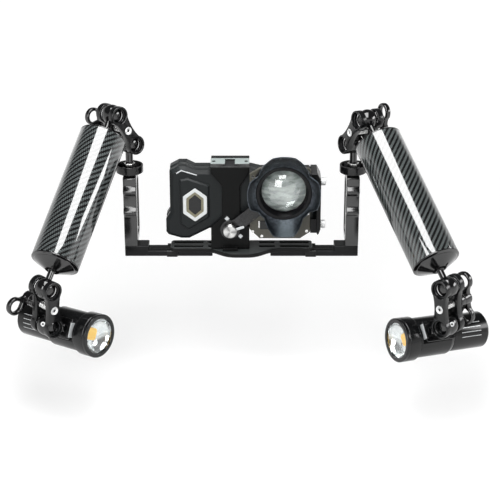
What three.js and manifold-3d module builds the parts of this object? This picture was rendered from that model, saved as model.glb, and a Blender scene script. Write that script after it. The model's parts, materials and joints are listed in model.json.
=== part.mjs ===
// A dive rig: a flat underwater camera housing with a wide lens, held by a clamp bracket on a tray
// with two handles, and on each side a float arm between two ball clamps that carries a video light.
// Millimetres, +Z up. The lens looks along -Y. The origin is the middle of the tray's underside.
import * as THREE from "three";
import { mergeVertices } from "three/addons/utils/BufferGeometryUtils.js";
import Module from "manifold-3d";

const wasm = await Module();
wasm.setup();

// Gap
const runGap = 0.3; // between pieces that turn, or that sit in a turned group

// Tray and its two side rails
const trayLength = 196;
const trayDepth = 28.5;
const trayThickness = 5.5;
const trayCornerRadius = 5;
const trayNoseReach = 34; // how far the middle of the front edge stands out from the centre line
const trayNoseHalf = 6;
const trayNoseRun = 53; // where the front edge starts to curve out
const traySlotWidth = 5.5;
const traySlotSpacing = 13.7;
const traySlotInnerX = 50;
const traySlotOuterX = 89;
const trayWindowInnerX = 23;
const trayWindowOuterX = 44;
const trayBlockHalf = 22;
const trayCheekLength = 14;
const trayCheekWall = 2.6;
const railInnerX = 38; // leaves room to slide the rail in
const railWidth = 22.6;
const railHeight = 7;
const railGrooveWidth = 2.4;
const railGrooveDepth = 1.2;
const railGroovePitch = 6.2;
const footHeight = 14;
const footInnerReach = 14; // the foot's ledge inside the handle

// Handles
const handleX = 144.5;
const gripWidth = 17.2;
const handleTopZ = 110;
const gripFrontY = -12.5;
const gripRidgeReach = 4.5;
const gripRidgeZ = [63, 91];
const gripRidgeRise = 6; // below the crest, where a ridge starts to stand out
const gripRidgeFlat = 2.5;
const gripHollowRun = 14;
const gripRootRise = 12;
const gripTopCut = 2;
const strapRootRise = 18;
const gripBackY = -2.5;
const strapFrontY = 27;
const strapThickness = 4.5;
const loopFloorZ = 24;
const loopRoofZ = 101;
const loopRadius = 9;

// Turning disc and ball stud on top of each handle
const discRadius = 17.5;
const discNeckRadius = 10;
const discRimZ = 124;
const discFloorZ = 117;
const discShoulderZ = 114.5;
const discWall = 2;
const discDish = 1; // how much the dish narrows towards its floor
const handleStudRadius = 4.75;
const handleNutRadius = 8;
const handleNutHeight = 4.7;
const handleBallZ = 153;

// Balls and the double clamps that grip them
const ballRadius = 12.7;
const ballSocketGap = 0.6;
const clampCentres = 49;
const clampRingRadius = 12.5;
const clampRingHole = 8.2;
const clampWaistHalf = 7.6;
const clampInnerFace = 8.5;
const clampOuterFace = 17;
const clampEdge = 1.6;
const clampBoltRadius = 4;
const clampBoltHeadRadius = 5;
const clampBoltHeadHeight = 5;
const wingStart = 30; // where the finger loops begin, from the clamp's middle plane
const wingEnd = 37;
const wingHubRadius = 8.5;
const wingLoopOuter = 11.5;
const wingLoopWall = 4.2;
const wingLoopCentre = 22;
const wingLoopThroat = 12.5; // where the loop's opening narrows to a point
const wingLoopSteps = 9;

// Float arms
const armBalls = 250; // ball centre to ball centre
const armRadius = 30;
const armWall = 2.5;
const capTip = 24; // from the ball's centre to the tip of the cap's cone
const capRim = 36; // from the ball's centre to the end of the carbon tube
const capNoseRadius = 9;
const capLip = 1.5;
const capSpigot = 6;
const armStudRadius = 4;

// Video lights: s is measured back from the front face, along the light's axis
const lightBallOffset = 41; // ball centre to the light's axis
const lightBallBack = 51; // ball centre behind the front face
const bezelRadius = 27;
const bezelLength = 21;
const bezelOpening = 22;
const bezelBore = 23.6;
const bezelLip = 2;
const windowThickness = 3;
const reflectorFloorRadius = 9.5;
const reflectorFloorBack = 1.2;
const reflectorWall = 3; // where the mirror meets its floor
const reflectorBowl = 5; // depth of its steep first part
const reflectorRimDepth = 3;
const reflectorShoulder = 8;
const ledSize = 13;
const ledThickness = 1.4;
const lightBodyRadius = 24.5;
const lightBodyEnd = 70;
const lightTailRadius = 22.3;
const lightLength = 122;
const lightFlat = 20; // milled seat of the ball mount, from the axis
const mountPlateThickness = 2.5;
const mountPlateStart = 28;
const mountPlateEnd = 68;
const mountPlateHalfWidth = 13;
const mountWallHeight = 7;
const mountWallThickness = 2.5;
const mountWallHalf = 9.5;
const mountNeckRadius = 5;

// Housing shells
const shellLeftX = -98.3;
const shellRightX = 97;
const shellBottomZ = 24.5;
const shellTopZ = 127;
const shellLensTopZ = 116; // the lens side is lower
const waistBottomZ = 38.5;
const waistTopZ = 119;
const shellFrontY = -12;
const partingY = 5;
const shellBackY = 24;
const sealThickness = 0.8;
const sealInset = 4;
const shellFront = { footRise: 9, footRun: 20, footLength: 10, cornerIn: 3, cornerUp: 5 };
const shellStep = { inset: 5.5, low: 27, high: 36 }; // the upper left edge sits inside the lower one
const shellShoulder = { drop: 2.5, start: 17, end: 27, neck: 38, cut: 9 };
const shellRight = { lift: 2, run: 20, shoulder: 7, low: 10, high: 18, topDrop: 10, topIn: 9 };
const neckGap = 2; // between the bracket and the shell's shoulders
const neckTopRun = 12;
const frontBevel = 4.5;
const backBevel = 3;
const phoneSpaceHalf = 76;
const phoneSpaceEdge = 8; // above and below, from the waist
const phoneSpaceRadius = 6;
const shellWall = 5;
const shellWindowRadius = 13.5;
const sealWidth = 2;
const panelRise = 3.5;
const panelEdge = 2;
const touchSheetRise = 1.2;
const touchSheetHalfWidth = 80;
const touchSheetHalfHeight = 33.5;
const touchSheetRadius = 8;
const panelCentreX = -60;
const panelCentreZ = 74;
const panelLeftReach = 19.5;
const panelRightReach = 18.5;
const panelPeakShift = 9;
const panelLow = { outer: 27, peak: 35, inner: 18 }; // below the panel's centre
const panelHigh = { outer: 34, peak: 36, inner: 26 }; // above it

// Port plate, closing bar and its two thumb screws
const portPlateLeftX = 10.7;
const portPlateRightX = 89.5;
const portPlateBottomZ = 27;
const portPlateTopZ = 125;
const portPlateCorner = 13;
const portPlateRightCut = 9;
const portPlateTopCut = 8;
const portPlateTipCut = 3;
const portWindowRadius = 16;
const portPlateThickness = 4;
const barOuterX = 103;
const barBottomZ = 32;
const barTopZ = 117;
const barFrontY = -17.2;
const barBackY = 20;
const barLipHeight = 22;
const barLipStep = 3;
const barCut = { footIn: 2, footUp: 6, toe: 2, heel: 8, topDrop: 9.5, topIn: 5 };
const barCapReach = 2; // how far the bar's cap stops short of the shell's corner
const thumbScrewZ = [43.1, 102.3];
const thumbScrewY = -4;
const thumbScrewRadius = 5.5;
const thumbScrewHead = 6.3;
const thumbScrewShank = 2.5;
const thumbScrewShankLength = 5;

// Clamp bracket with its accessory shoe
const bracketLeftX = -39.5;
const bracketRightX = 10.4;
const bracketFrontY = -17.5;
const bracketWaistLeftX = -25;
const bracketWaistRightX = -1.5;
const bracketWaistLowZ = 57;
const bracketWaistHighZ = 100;
const bracketFlareLowZ = 44;
const bracketFlareHighZ = 118;
const bracketTopZ = 126;
const bracketLip = 3.5;
const bracketLipGrip = 10;
const bracketTongueHalf = 10;
const bracketTongueReach = 8;
const bracketTongueHeight = 4;
const shoeDepth = 22;
const shoeThickness = 5;
const shoeSlotWidth = 18.7;
const shoeMouthWidth = 12.6;
const shoeSlotHeight = 2.2;
const shoeLip = 1.4;
const shoeSlotDepth = 18.6;

// Lens on its swing arm
const lensX = 54.4;
const lensZ = 99;
const lensRingY = -42;
const barrelFrontRadius = 35.5;
const barrelWall = 5.2; // outside the front glass
const glassLedge = 8; // that the front glass rests on
const glassRadius = barrelFrontRadius - barrelWall;
const barrelBoreRadius = glassRadius - glassLedge;
const glassRise = 7;
const glassSeat = 5;
const glassEdgeDrop = 1.5; // of the glass's edge below the front ring
const ringEdge = 0.6;
const hoodWall = 1.6;
const hoodSleeve = 11;
const hoodFlare = 1.2; // radius gained for each millimetre of reach
const petalLong = 14.5; // reach of the top and bottom petals past the front ring
const petalShort = 8;
const petalNotch = 3;
const pivotX = -14.6;
const pivotZ = 41.2;
const swingPlateThickness = 3.5;
const swingPlateRise = 3.2;
const swingPlateWidth = 17.3;
const swingPlateStart = 13;
const swingEyeRadius = 13;
const swingRingWall = 4;
const pivotPinRadius = 4;
const pivotPinReach = 4; // how far the pin stands into the lock knob
const lockKnobRadius = 9;
const lockKnobHeight = 8;
const pointerLength = 12;
const pointerWidth = 2.6;
const pointerAngle = 18.6;

// How the two arms stand in the rest pose, as compass bearing from +X and height above level
const armPose = {
  left: {
    side: -1,
    upperClamp: [-143.8, 61],
    upperFacing: [-47, 3.7],
    upperWing: 70,
    arm: [-112, -40.5],
    lowerClamp: [103, -88],
    lowerFacing: [-45, 0],
    lowerWing: 170,
    lightAxis: [-37.3, 3.7],
    lightUp: [-129.1, 25.6],
  },
  right: {
    side: 1,
    upperClamp: [-59.3, 54.4],
    upperFacing: [-152.2, 2],
    upperWing: 55,
    arm: [-63.7, -37.4],
    lowerClamp: [-45, -86.3],
    lowerFacing: [-135, 0],
    lowerWing: 85,
    lightAxis: [-153.9, 4.6],
    lightUp: [-59.8, 41.2],
  },
};

const trayTopZ = railHeight + trayThickness;
const smooth = 20; // sides of a large round piece
const coarse = 16; // sides of a small round piece
const lensSides = 28;

const finish = {
  blackAluminium: { color: 0x17181a, roughness: 0.42, metalness: 0.55 },
  greyAluminium: { color: 0x77797a, roughness: 0.45, metalness: 0.7 },
  blackPlastic: { color: 0x222426, roughness: 0.55, metalness: 0.0 },
  oliveMetal: { color: 0x3d3b35, roughness: 0.5, metalness: 0.6 },
  steel: { color: 0xc9c9c6, roughness: 0.28, metalness: 1.0 },
  carbon: { color: 0x2a2d2e, roughness: 0.2, metalness: 0.1 },
  rubber: { color: 0x1a1a1b, roughness: 0.8, metalness: 0.0 },
  chrome: { color: 0xe8e8e8, roughness: 0.08, metalness: 1.0 },
  amber: { color: 0xffc73d, roughness: 0.5, metalness: 0.0 },
  glass: { color: 0xb9c3c2, roughness: 0.05, metalness: 0.1 },
};

// Solids and their joins

function solid(geometry) {
  const loose = geometry.index ? geometry.toNonIndexed() : geometry;
  const bare = new THREE.BufferGeometry();
  bare.setAttribute("position", loose.getAttribute("position"));
  const merged = mergeVertices(bare, 1e-4);
  return new wasm.Manifold(
    new wasm.Mesh({
      numProp: 3,
      vertProperties: merged.attributes.position.array,
      triVerts: merged.index.array,
    }),
  );
}

function join(first, ...others) {
  return others.reduce((sum, other) => sum.add(solid(other)), solid(first));
}

function cut(from, ...tools) {
  const start = from instanceof THREE.BufferGeometry ? solid(from) : from;
  return tools.reduce((rest, tool) => rest.subtract(solid(tool)), start);
}

function geometryOf(made) {
  const mesh = made.getMesh();
  const geometry = new THREE.BufferGeometry();
  geometry.setAttribute("position", new THREE.BufferAttribute(mesh.vertProperties, 3));
  geometry.setIndex(new THREE.BufferAttribute(mesh.triVerts, 1));
  geometry.computeVertexNormals();
  return geometry;
}

function addPiece(parent, name, shape, look) {
  const geometry = shape instanceof THREE.BufferGeometry ? shape : geometryOf(shape);
  const mesh = new THREE.Mesh(geometry, new THREE.MeshStandardMaterial(finish[look]));
  mesh.name = name;
  parent.add(mesh);
  return mesh;
}

// Plain forms, each given by where it lies

function block(x0, x1, y0, y1, z0, z1) {
  const box = new THREE.BoxGeometry(x1 - x0, y1 - y0, z1 - z0);
  return box.translate((x0 + x1) / 2, (y0 + y1) / 2, (z0 + z1) / 2);
}

function ball(radius, x = 0, y = 0, z = 0) {
  return new THREE.SphereGeometry(radius, coarse, 10).translate(x, y, z);
}

function rodAlongX(radius, x0, x1, y, z, sides = coarse) {
  const rod = new THREE.CylinderGeometry(radius, radius, x1 - x0, sides);
  return rod.rotateZ(-Math.PI / 2).translate((x0 + x1) / 2, y, z);
}

function rodAlongY(radius, y0, y1, x, z, sides = coarse) {
  const rod = new THREE.CylinderGeometry(radius, radius, y1 - y0, sides);
  return rod.translate(x, (y0 + y1) / 2, z);
}

function rodAlongZ(radius, z0, z1, x, y, sides = coarse) {
  const rod = new THREE.CylinderGeometry(radius, radius, z1 - z0, sides);
  return rod.rotateX(Math.PI / 2).translate(x, y, (z0 + z1) / 2);
}

// A profile of [radius, distance] turned about Y
function turned(profile, sides = smooth) {
  const points = profile.map(([radius, distance]) => new THREE.Vector2(radius, distance));
  return new THREE.LatheGeometry(points, sides);
}

function turnedAboutZ(profile, sides = smooth) {
  return turned(profile, sides).rotateX(Math.PI / 2);
}

function outline(points) {
  return new THREE.Shape(points.map(([x, y]) => new THREE.Vector2(x, y)));
}

function extrude(shape, depth, edge = 0, curveSegments = 6) {
  const geometry = new THREE.ExtrudeGeometry(shape, {
    depth: depth - 2 * edge,
    bevelEnabled: edge > 0,
    bevelThickness: edge,
    bevelSize: edge,
    bevelOffset: -edge,
    bevelSegments: 1,
    curveSegments,
  });
  return geometry.translate(0, 0, edge);
}

// The outline lies in the XZ plane and runs from yFront to yBack
function upright(shape, yFront, yBack, edge = 0, curveSegments = 6) {
  const geometry = extrude(shape, yBack - yFront, edge, curveSegments);
  return geometry.rotateX(Math.PI / 2).translate(0, yBack, 0);
}

// The outline lies in the XY plane and runs from z0 to z1
function slab(shape, z0, z1, edge = 0, curveSegments = 6) {
  return extrude(shape, z1 - z0, edge, curveSegments).translate(0, 0, z0);
}

// The outline is given as [y, z] and runs from x0 to x1
function sideways(shape, x0, x1, edge = 0, curveSegments = 6) {
  const turn = new THREE.Matrix4().makeBasis(
    new THREE.Vector3(0, 1, 0),
    new THREE.Vector3(0, 0, 1),
    new THREE.Vector3(1, 0, 0),
  );
  return extrude(shape, x1 - x0, edge, curveSegments).applyMatrix4(turn).translate(x0, 0, 0);
}

function roundedRectangle(x0, x1, y0, y1, radius) {
  const shape = new THREE.Shape();
  shape.moveTo(x0 + radius, y0);
  shape.lineTo(x1 - radius, y0);
  shape.absarc(x1 - radius, y0 + radius, radius, -Math.PI / 2, 0);
  shape.absarc(x1 - radius, y1 - radius, radius, 0, Math.PI / 2);
  shape.absarc(x0 + radius, y1 - radius, radius, Math.PI / 2, Math.PI);
  shape.absarc(x0 + radius, y0 + radius, radius, Math.PI, Math.PI * 1.5);
  return shape;
}

// Arc of a ball's outline from its far pole to where a stud of the given radius leaves it
function ballProfile(studRadius, steps = 5) {
  const last = Math.PI - Math.asin(studRadius / ballRadius);
  return Array.from({ length: steps + 1 }, (_, i) => {
    const angle = (last * i) / steps;
    return [ballRadius * Math.sin(angle), -ballRadius * Math.cos(angle)];
  });
}

// Directions and turned groups

function direction([bearing, height]) {
  const a = THREE.MathUtils.degToRad(bearing);
  const h = THREE.MathUtils.degToRad(height);
  return new THREE.Vector3(Math.cos(h) * Math.cos(a), Math.cos(h) * Math.sin(a), Math.sin(h));
}

// A group at origin whose axes follow two directions: main exactly, and second as nearly as it can
function turnedGroup(origin, mainAxis, main, second) {
  const side = second.clone().addScaledVector(main, -second.dot(main)).normalize();
  const basis = new THREE.Matrix4();
  if (mainAxis === "z") basis.makeBasis(side.clone().cross(main), side, main);
  else basis.makeBasis(main, side.clone().cross(main), side);
  const group = new THREE.Group();
  group.position.copy(origin);
  group.quaternion.setFromRotationMatrix(basis);
  return group;
}

// Tray

function trayOutline() {
  const half = trayLength / 2;
  const edge = trayDepth / 2;
  const r = trayCornerRadius;
  const shape = new THREE.Shape();
  shape.moveTo(-half + r, -edge);
  shape.lineTo(-trayNoseRun, -edge);
  const bend = (trayNoseRun + trayNoseHalf) / 2;
  shape.bezierCurveTo(-bend, -edge, -bend, -trayNoseReach, -trayNoseHalf, -trayNoseReach);
  shape.lineTo(trayNoseHalf, -trayNoseReach);
  shape.bezierCurveTo(bend, -trayNoseReach, bend, -edge, trayNoseRun, -edge);
  shape.lineTo(half - r, -edge);
  shape.absarc(half - r, -edge + r, r, -Math.PI / 2, 0);
  shape.absarc(half - r, edge - r, r, 0, Math.PI / 2);
  shape.absarc(-half + r, edge - r, r, Math.PI / 2, Math.PI);
  shape.absarc(-half + r, -edge + r, r, Math.PI, Math.PI * 1.5);
  return shape;
}

function slotTool(side, innerX, outerX, y) {
  const near = side > 0 ? innerX : -outerX;
  const far = side > 0 ? outerX : -innerX;
  const shape = roundedRectangle(near, far, y - traySlotWidth / 2, y + traySlotWidth / 2, traySlotWidth / 2.2);
  return slab(shape, railHeight - 1, trayTopZ + 1, 0, 2);
}

function trayPlate() {
  const railHalf = railWidth / 2;
  const half = trayLength / 2;
  const cheeks = [-1, 1].flatMap((side) =>
    [-1, 1].map((face) => {
      const xs = [side * half, side * (half - trayCheekLength)].sort((a, b) => a - b);
      const ys = [face * (railHalf + runGap), face * (railHalf + runGap + trayCheekWall)].sort((a, b) => a - b);
      return block(xs[0], xs[1], ys[0], ys[1], 0, railHeight + 1);
    }),
  );
  const body = join(
    slab(trayOutline(), railHeight, trayTopZ, 0, 5),
    block(-trayBlockHalf, trayBlockHalf, -railHalf, railHalf, 0, railHeight + 1),
    ...cheeks,
  );
  const slots = [-1, 1].flatMap((side) =>
    [-1, 1].flatMap((row) => [
      slotTool(side, traySlotInnerX, traySlotOuterX, (row * traySlotSpacing) / 2),
      slotTool(side, trayWindowInnerX, trayWindowOuterX, (row * traySlotSpacing) / 2),
    ]),
  );
  return cut(body, ...slots);
}

function rail(side) {
  const outer = handleX + gripWidth / 2;
  const footInner = handleX - gripWidth / 2 - footInnerReach;
  const span = (a, b) => (side > 0 ? [a, b] : [-b, -a]);
  const [barA, barB] = span(railInnerX, outer);
  const [footA, footB] = span(footInner, outer);
  const body = join(
    block(barA, barB, -railWidth / 2, railWidth / 2, 0, railHeight),
    block(footA, footB, -railWidth / 2, railWidth / 2, 0, footHeight),
  );
  const [grooveA, grooveB] = span(traySlotInnerX, footInner - 2);
  const grooves = [-1, 0, 1].map((row) =>
    block(
      grooveA,
      grooveB,
      row * railGroovePitch - railGrooveWidth / 2,
      row * railGroovePitch + railGrooveWidth / 2,
      railHeight - railGrooveDepth,
      railHeight + 1,
    ),
  );
  return cut(body, ...grooves);
}

// Handle: a closed loop with two finger ridges in front and a slim strap behind

function handleOutline() {
  const shape = new THREE.Shape();
  const back = strapFrontY + strapThickness;
  shape.moveTo(-railWidth / 2, footHeight);
  shape.lineTo(gripFrontY, footHeight + gripRootRise);
  for (const ridgeZ of gripRidgeZ) {
    const crest = gripFrontY - gripRidgeReach;
    shape.lineTo(gripFrontY - gripRidgeReach / 2, ridgeZ - gripRidgeRise);
    shape.lineTo(crest, ridgeZ - gripRidgeFlat / 2);
    shape.lineTo(crest, ridgeZ + gripRidgeFlat / 2);
    shape.quadraticCurveTo(gripFrontY, ridgeZ + gripRidgeRise, gripFrontY, ridgeZ + gripHollowRun);
  }
  shape.lineTo(gripFrontY, handleTopZ - gripTopCut);
  shape.lineTo(gripFrontY + gripTopCut, handleTopZ);
  shape.lineTo(railWidth / 2, handleTopZ);
  shape.quadraticCurveTo(back, handleTopZ, back, loopRoofZ - loopRadius);
  shape.lineTo(back, footHeight + strapRootRise);
  shape.quadraticCurveTo(back, footHeight, railWidth / 2, footHeight);
  const hole = roundedRectangle(gripBackY, strapFrontY, loopFloorZ, loopRoofZ, loopRadius);
  shape.holes.push(hole);
  return shape;
}

function handleGrip() {
  return sideways(handleOutline(), handleX - gripWidth / 2, handleX + gripWidth / 2, 0.8, 4);
}

function handleDisc() {
  const bore = handleStudRadius + runGap;
  return turnedAboutZ([
    [bore, handleTopZ + runGap],
    [discNeckRadius, handleTopZ + runGap],
    [discRadius, discShoulderZ],
    [discRadius, discRimZ],
    [discRadius - discWall, discRimZ],
    [discRadius - discWall - discDish, discFloorZ],
    [bore, discFloorZ],
    [bore, handleTopZ + runGap],
  ]).translate(handleX, 0, 0);
}

function handleStud() {
  const nutZ = discFloorZ + runGap;
  const sphere = ballProfile(handleStudRadius)
    .map(([radius, along]) => [radius, handleBallZ - along])
    .reverse();
  return turnedAboutZ([
    [0, handleTopZ],
    [handleStudRadius, handleTopZ],
    [handleStudRadius, nutZ],
    [handleNutRadius, nutZ],
    [handleNutRadius, nutZ + handleNutHeight],
    [handleStudRadius, nutZ + handleNutHeight],
    ...sphere,
  ], coarse).translate(handleX, 0, 0);
}

// Double ball clamp: its own +Z runs from the first ball to the second, and the bolt lies along Y

function clampOutline() {
  const shape = new THREE.Shape();
  const leave = THREE.MathUtils.degToRad(40);
  const x = clampRingRadius * Math.cos(leave);
  const z = clampRingRadius * Math.sin(leave);
  const waist = 2 * clampWaistHalf - x;
  shape.moveTo(x, z);
  shape.quadraticCurveTo(waist, clampCentres / 2, x, clampCentres - z);
  shape.absarc(0, clampCentres, clampRingRadius, -leave, Math.PI + leave);
  shape.quadraticCurveTo(-waist, clampCentres / 2, -x, z);
  shape.absarc(0, 0, clampRingRadius, Math.PI - leave, 2 * Math.PI + leave);
  return shape;
}

function clampPlate(face) {
  const ys = [face * clampInnerFace, face * clampOuterFace].sort((a, b) => a - b);
  const socket = ballRadius + ballSocketGap;
  const middle = clampCentres / 2;
  const tools = [0, clampCentres].flatMap((z) => [
    ball(socket, 0, 0, z),
    rodAlongY(clampRingHole, ys[0] - 1, ys[1] + 1, 0, z),
  ]);
  tools.push(rodAlongY(clampBoltRadius + runGap, ys[0] - 1, ys[1] + 1, 0, middle, 12));
  if (face < 0) {
    const seat = ys[0] + clampBoltHeadHeight + runGap;
    tools.push(rodAlongY(clampBoltHeadRadius + runGap, ys[0] - 1, seat, 0, middle, 12));
  }
  return cut(upright(clampOutline(), ys[0], ys[1], clampEdge, 5), ...tools);
}

function clampBolt() {
  const head = -clampOuterFace + runGap;
  return turned([
    [0, head],
    [clampBoltHeadRadius, head],
    [clampBoltHeadRadius, head + clampBoltHeadHeight],
    [clampBoltRadius, head + clampBoltHeadHeight],
    [clampBoltRadius, wingEnd - 2],
    [0, wingEnd - 2],
  ], 12).translate(0, 0, clampCentres / 2);
}

// A butterfly outline with a teardrop finger loop on each side of the hub
function wingOutline() {
  const lean = Math.PI * (2 / 3);
  const shape = new THREE.Shape();
  shape.moveTo(0, -wingHubRadius);
  for (const end of [1, -1]) {
    const joinX = end * (wingLoopCentre + wingLoopOuter * Math.cos(lean));
    const joinZ = end * wingLoopOuter * Math.sin(lean);
    const start = end > 0 ? -lean : Math.PI - lean;
    shape.quadraticCurveTo(end * wingHubRadius * 1.2, -end * wingHubRadius * 0.45, joinX, -joinZ);
    shape.absarc(end * wingLoopCentre, 0, wingLoopOuter, start, start + 2 * lean);
    shape.quadraticCurveTo(end * wingHubRadius * 1.2, end * wingHubRadius * 0.45, 0, end * wingHubRadius);
  }
  for (const end of [1, -1]) {
    const radius = wingLoopOuter - wingLoopWall;
    const open = Math.acos(-radius / (wingLoopCentre - wingLoopThroat));
    const points = Array.from({ length: wingLoopSteps + 1 }, (_, i) => {
      const angle = -open + (2 * open * i) / wingLoopSteps;
      return [end * (wingLoopCentre + radius * Math.cos(angle)), radius * Math.sin(angle)];
    });
    shape.holes.push(outline([[end * wingLoopThroat, 0], ...points]));
  }
  return shape;
}

function clampWing(angle) {
  const body = join(
    rodAlongY(wingHubRadius, clampOuterFace + runGap, wingEnd, 0, 0),
    upright(wingOutline(), wingStart, wingEnd, 0.8, 4),
  );
  const wing = cut(body, rodAlongY(clampBoltRadius + runGap, 0, wingEnd + 1, 0, 0, 12));
  return geometryOf(wing).rotateY(THREE.MathUtils.degToRad(angle)).translate(0, 0, clampCentres / 2);
}

function addClamp(root, name, origin, along, facing, wingAngle) {
  const group = turnedGroup(origin, "z", along, facing.clone().negate());
  addPiece(group, `${name}_front_plate`, clampPlate(-1), "blackAluminium");
  addPiece(group, `${name}_back_plate`, clampPlate(1), "blackAluminium");
  addPiece(group, `${name}_bolt`, clampBolt(), "steel");
  addPiece(group, `${name}_wing_knob`, clampWing(wingAngle), "blackAluminium");
  root.add(group);
}

// Float arm: its own +Z runs from the upper ball to the lower one

function armTube() {
  return turnedAboutZ([
    [armRadius - armWall, capRim],
    [armRadius, capRim],
    [armRadius, armBalls - capRim],
    [armRadius - armWall, armBalls - capRim],
    [armRadius - armWall, capRim],
  ], lensSides);
}

function armCap() {
  const plug = armRadius - armWall - runGap;
  return turnedAboutZ([
    ...ballProfile(armStudRadius),
    [armStudRadius, capTip],
    [capNoseRadius, capTip],
    [armRadius - 1, capRim - capLip - runGap],
    [armRadius, capRim - capLip],
    [armRadius, capRim - runGap],
    [plug, capRim - runGap],
    [plug, capRim + capSpigot],
    [0, capRim + capSpigot],
  ], coarse);
}

function addArm(root, name, origin, along) {
  const group = turnedGroup(origin, "z", along, new THREE.Vector3(0, 0, 1));
  addPiece(group, `${name}_float_tube`, armTube(), "carbon");
  addPiece(group, `${name}_upper_cap`, armCap(), "blackAluminium");
  const lowerCap = armCap().rotateX(Math.PI).translate(0, 0, armBalls);
  addPiece(group, `${name}_lower_cap`, lowerCap, "blackAluminium");
  root.add(group);
}

// Video light: its own +X runs from tail to front, and its ball is at the origin

function turnedLight(profile, sides = smooth) {
  const placed = profile.map(([radius, s]) => [radius, lightBallBack - s]);
  return turned(placed, sides).rotateZ(-Math.PI / 2).translate(0, 0, -lightBallOffset);
}

function lightBezel() {
  return turnedLight([
    [bezelOpening, 0],
    [bezelOpening, bezelLip],
    [bezelBore, bezelLip],
    [bezelBore, bezelLength],
    [bezelRadius - 2, bezelLength],
    [bezelRadius, bezelLength - 2],
    [bezelRadius, 0.8],
    [bezelRadius - 0.8, 0],
    [bezelOpening, 0],
  ]);
}

function lightWindow() {
  const rim = bezelBore - runGap;
  const front = bezelLip + runGap;
  return turnedLight([
    [0, front],
    [0, front + windowThickness],
    [rim, front + windowThickness],
    [rim, front],
    [0, front],
  ]);
}

function reflectorBack() {
  return bezelLength - runGap;
}

function lightReflector() {
  const rim = bezelBore - runGap;
  const front = bezelLip + windowThickness + 2 * runGap;
  const floor = reflectorBack() - reflectorFloorBack;
  return turnedLight([
    [0, floor],
    [0, reflectorBack()],
    [reflectorFloorRadius + reflectorWall, reflectorBack()],
    [rim - 2, front + reflectorShoulder],
    [rim, front + reflectorRimDepth],
    [rim, front],
    [rim - 1, front],
    [rim - 3, front + reflectorBowl],
    [reflectorFloorRadius + reflectorWall + 1, floor - reflectorWall],
    [reflectorFloorRadius, floor],
    [0, floor],
  ]);
}

function lightLed() {
  const back = lightBallBack - (reflectorBack() - reflectorFloorBack) + runGap;
  const half = ledSize / 2;
  return block(back, back + ledThickness, -half, half, -lightBallOffset - half, -lightBallOffset + half);
}

function lightBody() {
  const front = bezelLength + runGap;
  const barrel = turnedLight([
    [0, front],
    [0, lightBodyEnd],
    [lightTailRadius, lightBodyEnd],
    [lightBodyRadius, lightBodyEnd - 5],
    [lightBodyRadius, front],
    [0, front],
  ]);
  const seatX = lightBallBack - mountPlateStart + mountWallThickness + 2;
  const top = -lightBallOffset + lightFlat;
  const tool = block(lightBallBack - lightBodyEnd - 1, seatX, -bezelRadius, bezelRadius, top, 0);
  return cut(barrel, tool);
}

function lightTail() {
  const front = lightBodyEnd + runGap;
  return turnedLight([
    [0, front],
    [0, lightLength],
    [lightTailRadius - 3, lightLength],
    [lightTailRadius, lightLength - 3],
    [lightTailRadius, front],
    [0, front],
  ]);
}

function lightBallMount() {
  const seat = -lightBallOffset + lightFlat + runGap;
  const plateTop = seat + mountPlateThickness;
  const plateFront = lightBallBack - mountPlateStart;
  const plateBack = lightBallBack - mountPlateEnd;
  return join(
    ball(ballRadius),
    rodAlongZ(mountNeckRadius, plateTop - 1, -ballRadius / 2, 0, 0),
    block(plateBack, plateFront, -mountPlateHalfWidth, mountPlateHalfWidth, seat, plateTop),
    block(plateFront - 1, plateFront + mountWallThickness, -mountWallHalf, mountWallHalf, seat, seat + mountWallHeight),
  );
}

function addLight(root, name, origin, axis, up) {
  const group = turnedGroup(origin, "x", axis, up);
  addPiece(group, `${name}_body`, lightBody(), "blackAluminium");
  addPiece(group, `${name}_bezel`, lightBezel(), "blackAluminium");
  addPiece(group, `${name}_window`, lightWindow(), "glass");
  addPiece(group, `${name}_reflector`, lightReflector(), "chrome");
  addPiece(group, `${name}_led`, lightLed(), "amber");
  addPiece(group, `${name}_tail_cap`, lightTail(), "blackAluminium");
  addPiece(group, `${name}_ball_mount`, lightBallMount(), "blackAluminium");
  root.add(group);
}

// One side: handle, two clamps, float arm and light, each starting where the last one ends

function addSide(root, label) {
  const pose = armPose[label];
  const mirrored = (geometry) => (pose.side > 0 ? geometry : geometry.translate(-2 * handleX, 0, 0));
  addPiece(root, `${label}_rail`, rail(pose.side), "blackAluminium");
  addPiece(root, `${label}_handle`, mirrored(handleGrip()), "blackAluminium");
  addPiece(root, `${label}_handle_disc`, mirrored(handleDisc()), "blackAluminium");
  addPiece(root, `${label}_handle_stud`, mirrored(handleStud()), "blackAluminium");

  const handleBall = new THREE.Vector3(pose.side * handleX, 0, handleBallZ);
  const upperAlong = direction(pose.upperClamp);
  const upperBall = handleBall.clone().addScaledVector(upperAlong, clampCentres);
  const armAlong = direction(pose.arm);
  const lowerBall = upperBall.clone().addScaledVector(armAlong, armBalls);
  const lowerAlong = direction(pose.lowerClamp);
  const lightBall = lowerBall.clone().addScaledVector(lowerAlong, clampCentres);

  addClamp(root, `${label}_upper_clamp`, handleBall, upperAlong, direction(pose.upperFacing), pose.upperWing);
  addArm(root, `${label}_arm`, upperBall, armAlong);
  addClamp(root, `${label}_lower_clamp`, lowerBall, lowerAlong, direction(pose.lowerFacing), pose.lowerWing);
  addLight(root, `${label}_light`, lightBall, direction(pose.lightAxis), direction(pose.lightUp));
}

// Housing

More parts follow.
